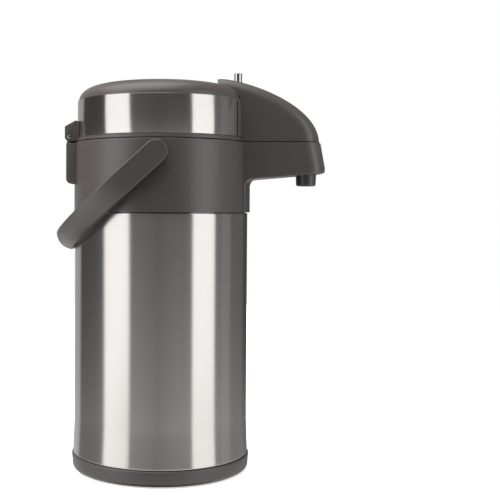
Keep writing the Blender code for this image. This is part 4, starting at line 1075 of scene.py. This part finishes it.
def makeHandle():
    # strap outlines carried along the path: lift is as the square of the reach, arch as its fourth power
    inside, thick, lift, lean = pick(handleLook, "inside thick lift lean")
    rest = math.radians(handleLook["rest"])
    lowEdge = handleLook["width"] / 2 - lift
    bowInside = (shellLook["radius"] + lean + lowEdge * math.sin(rest)) / math.cos(rest)
    bow = bowInside + thick / 2
    path = handlePath(inside + thick / 2, bow)
    ahead = np.gradient(path, axis=0)
    ahead[0] = (-1, 0)
    ahead[-1] = (1, 0)
    ahead = ahead / np.linalg.norm(ahead, axis=1)[:, None]
    outward = np.stack([-ahead[:, 1], ahead[:, 0]], axis=1)
    share = (path[:, 0] / bow) ** 2
    rows = []
    for station in range(len(path)):
        outline = strapOutline(share[station] ** 2)
        flat = path[station] + outward[station] * outline[:, :1]
        rows.append(np.column_stack([flat, outline[:, 1] + lift * share[station]]))
    outline = strapOutline(0)
    ends = []
    for station in (0, -1):
        # past the pivot the two halves of the section swing together round it
        flat = path[station] + outward[station] * outline[:, :1]
        cap = []
        for angle in np.linspace(0, quarter, handleLook["endSteps"])[1:]:
            past = np.column_stack([math.sin(angle) * np.abs(outline[:, 1]), 0 * outline[:, 1]])
            cap.append(np.column_stack([flat + past, math.cos(angle) * outline[:, 1]]))
        ends.append(cap)
    grid = np.array(ends[0][::-1] + rows + ends[1])
    swing = np.array([[math.cos(rest), 0, -math.sin(rest)], [0, 1, 0], [math.sin(rest), 0, math.cos(rest)]])
    grid = grid @ swing.T + [0, 0, pivotZ]
    return solid("handleBail", (grid.reshape(-1, 3), gridFaces(*grid.shape[:2], False, True), []))


pivotLook = {"radius": 4.0, "head": 6.0, "headThick": 2.2}


def makePivot(side, name, radius, head, headThick):
    # turned pin with a head at its inner end, laid along Y to either side
    low, high = boxOf("handle_pin_" + name)
    length = high[1] - low[1]
    corners = [(0, length), (radius, length, 0.5), (radius, headThick, 0.3), (head, headThick, 0.4),
               (head, 0, 0.4), (0, 0)]
    points, quads, ends = spun(corners, False, segments=48)
    start = low[1] if side > 0 else high[1]
    laid = np.stack([points[:, 0], side * points[:, 2] + start, points[:, 1] + pivotZ], axis=1)
    return solid("handlePin_" + name, (laid, quads, ends))


washerLook = {"bore": 4.3, "radius": 9.0, "innerEdge": 0.15, "outerEdge": 0.25}


def makeWasher(name, bore, radius, innerEdge, outerEdge):
    # turned ring, laid along Y
    low, high = boxOf("handle_washer_" + name)
    half = (high[1] - low[1]) / 2
    corners = ringOf(bore, radius, -half, half, innerEdge, outerEdge)
    ring = spun(corners, True, segments=64, steps=3)
    return solid("handleWasher_" + name, moved(ring, (0, (low[1] + high[1]) / 2, pivotZ), "Y"))


dress(makeHandle(), "bail", "grey_plastic", "handle")
for side, name in ((-1, "left"), (1, "right")):
    dress(makePivot(side, name, **pivotLook), "bail", "bright_steel", "handle_pin_" + name)
    dress(makeWasher(name, **washerLook), "bail", "black_plastic", "handle_washer_" + name)
print("handle done")

# what stays as the frame has it still gets its finish
for subpart in frame["record"]["subparts"]:
    node = frame["nodes"][subpart["node"]]
    if not node.hide_render:
        node.data.materials.clear()
        node.data.materials.append(finishes[subpart["material_slot"]])

# Camera at the photograph's angle: level, with the picture shifted instead of tilted
cameraLook = {"azimuth": 2.9, "distance": 0.930, "height": 0.2435, "aside": 0.01027, "lens": 70.0,
              "sensor": 36, "roll": 0.005, "centreX": 172.05, "centreY": 209.9, "picture": 500.0}
turnTo = math.radians(cameraLook["azimuth"])
away = Vector((math.sin(turnTo), -math.cos(turnTo), 0))
right = Vector((math.cos(turnTo), math.sin(turnTo), 0))
camera = bpy.data.objects.new("camera", bpy.data.cameras.new("camera"))
bpy.context.scene.collection.objects.link(camera)
camera.location = away * cameraLook["distance"] + right * cameraLook["aside"]
camera.location.z = cameraLook["height"]
camera.rotation_euler = (quarter, -cameraLook["roll"], turnTo)
camera.data.lens = cameraLook["lens"]
camera.data.sensor_width = cameraLook["sensor"]
camera.data.shift_x = (cameraLook["picture"] / 2 - cameraLook["centreX"]) / cameraLook["picture"]
camera.data.shift_y = (cameraLook["centreY"] - cameraLook["picture"] / 2) / cameraLook["picture"]
bpy.context.scene.camera = camera

# Softboxes: bearing from the camera's side, positive to the right; glow is the radiance
softboxes = {
    "left": {"bearing": -57.8, "tilt": -8.0, "away": 1.5, "size": (1.0, 1.84), "centre": 0.54, "glow": 1.54},
    "right": {"bearing": 60.2, "away": 1.5, "size": (0.87, 1.84), "centre": 0.54, "glow": 1.54},
    "far": {"bearing": 92.0, "away": 1.6, "size": (0.75, 2.4), "centre": 0.3, "glow": 0.10},
    "farther": {"bearing": 115.0, "away": 1.6, "size": (1.6, 2.4), "centre": 0.3, "glow": 0.07},
    "backLeft": {"bearing": -146.0, "away": 1.7, "size": (1.17, 2.4), "centre": 0.3, "glow": 0.38},
    "back": {"bearing": 180.0, "away": 1.7, "size": (0.4, 2.4), "centre": 0.3, "glow": 0.6},
    "fillLeft": {"bearing": -92.0, "away": 1.5, "size": (1.0, 2.1), "centre": 0.45, "glow": 3.7,
                 "gloss": False},
    "fillRight": {"bearing": 92.0, "away": 1.5, "size": (1.0, 2.1), "centre": 0.45, "glow": 2.9,
                  "gloss": False},
}
# Two ceilings, the lower and weaker one with a shine
ceilings = {"soft": {"height": 3.0, "glow": 4.4, "gloss": False},
            "shine": {"height": 2.9, "glow": 1.8, "gloss": True}}
ceilingLook = {"size": (3.4, 3.4), "aside": -1.1, "ahead": 0.3}


def addLamp(name, size, glow, place, turns, gloss):
    # an even lamp sends out its radiance times pi times its area
    data = bpy.data.lights.new(name, "AREA")
    data.shape = "RECTANGLE"
    data.size, data.size_y = size
    data.energy = glow * math.pi * size[0] * size[1]
    lamp = bpy.data.objects.new(name, data)
    lamp.location = place
    lamp.rotation_euler = turns
    lamp.visible_camera = False
    lamp.visible_glossy = gloss
    bpy.context.scene.collection.objects.link(lamp)


for name, look in softboxes.items():
    bearing = math.radians(look["bearing"])
    place = (math.sin(bearing) * look["away"], -math.cos(bearing) * look["away"], look["centre"])
    turns = (quarter, math.radians(look.get("tilt", 0)), bearing)
    addLamp("softbox_" + name, look["size"], look["glow"], place, turns, look.get("gloss", True))
for name, look in ceilings.items():
    place = (ceilingLook["aside"], -ceilingLook["ahead"], look["height"])
    addLamp("ceiling_" + name, ceilingLook["size"], look["glow"], place, (0, 0, 0), look["gloss"])

# Room: dim in reflections, lighter towards the ground and to the front's sides, white behind the object
roomLook = {"dim": (0.075, 0.0735, 0.0728), "ground": (1.24, 1.19, 1.155), "white": (1.0, 1.0, 1.0),
            "depth": (0.15, 0.65), "under": (0.7, 0.92), "underEnd": 0.08, "beside": 0.85,
            "fill": (0.31, 0.31, 0.31)}
world = bpy.data.worlds.new("room")
world.use_nodes = True
bpy.context.scene.world = world
room = Nodes(world.node_tree)
bearings = room.node("TexCoord", {}, {}, "Generated")
x, y, z = (room.node("SeparateXYZ", {}, {0: bearings}, axis) for axis in "XYZ")


def ramp(depth, first, last):
    # from the first value to the last between two depths below the horizon
    return room.node("MapRange", {}, {"Value": z, "From Min": -depth[0], "From Max": -depth[1],
                                      "To Min": first, "To Max": last})


shade = room.mix(ramp(roomLook["depth"], 0, 1), roomLook["dim"], roomLook["ground"])
# lifted where a direction points both sideways and to the front, and let fall near the feet
front = room.node("Math", {"operation": "MAXIMUM"}, {0: -1 * y, 1: 0})
under = ramp(roomLook["under"], 1, roomLook["underEnd"])
lift = (1 + roomLook["beside"] * abs(x) * front) * under
lifted = room.node("VectorMath", {"operation": "SCALE"}, {0: shade, "Scale": lift})
cameraRay, softRay = (room.node("LightPath", {}, {}, ray) for ray in ("Is Camera Ray", "Is Diffuse Ray"))
sight = room.mix(softRay, room.mix(cameraRay, lifted, roomLook["white"]), roomLook["fill"])
room.tree.links.new(sight.socket, room.tree.nodes["Background"].inputs["Color"])

floorLook = {"colour": (0.92, 0.92, 0.92, 1), "rough": 0.9, "specular": 0.1, "glow": 0.5, "radius": 1600.0,
             "height": -0.2}
disc = np.array([(0.0, floorLook["height"]), (floorLook["radius"], floorLook["height"])])
floor = solid("floor", turned(disc, False, segments=96))
paper = Finish("floorPaper", {"Base Color": floorLook["colour"], "Roughness": floorLook["rough"],
                              "Specular IOR Level": floorLook["specular"], "Emission Color": (1, 1, 1, 1),
                              "Emission Strength": floorLook["glow"]})
floor.data.materials.append(paper.material)
floor.visible_glossy = False
floor.visible_diffuse = False
floor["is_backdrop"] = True
bpy.context.scene.view_settings.view_transform = "Standard"
print("camera, light and floor done")

low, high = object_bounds()
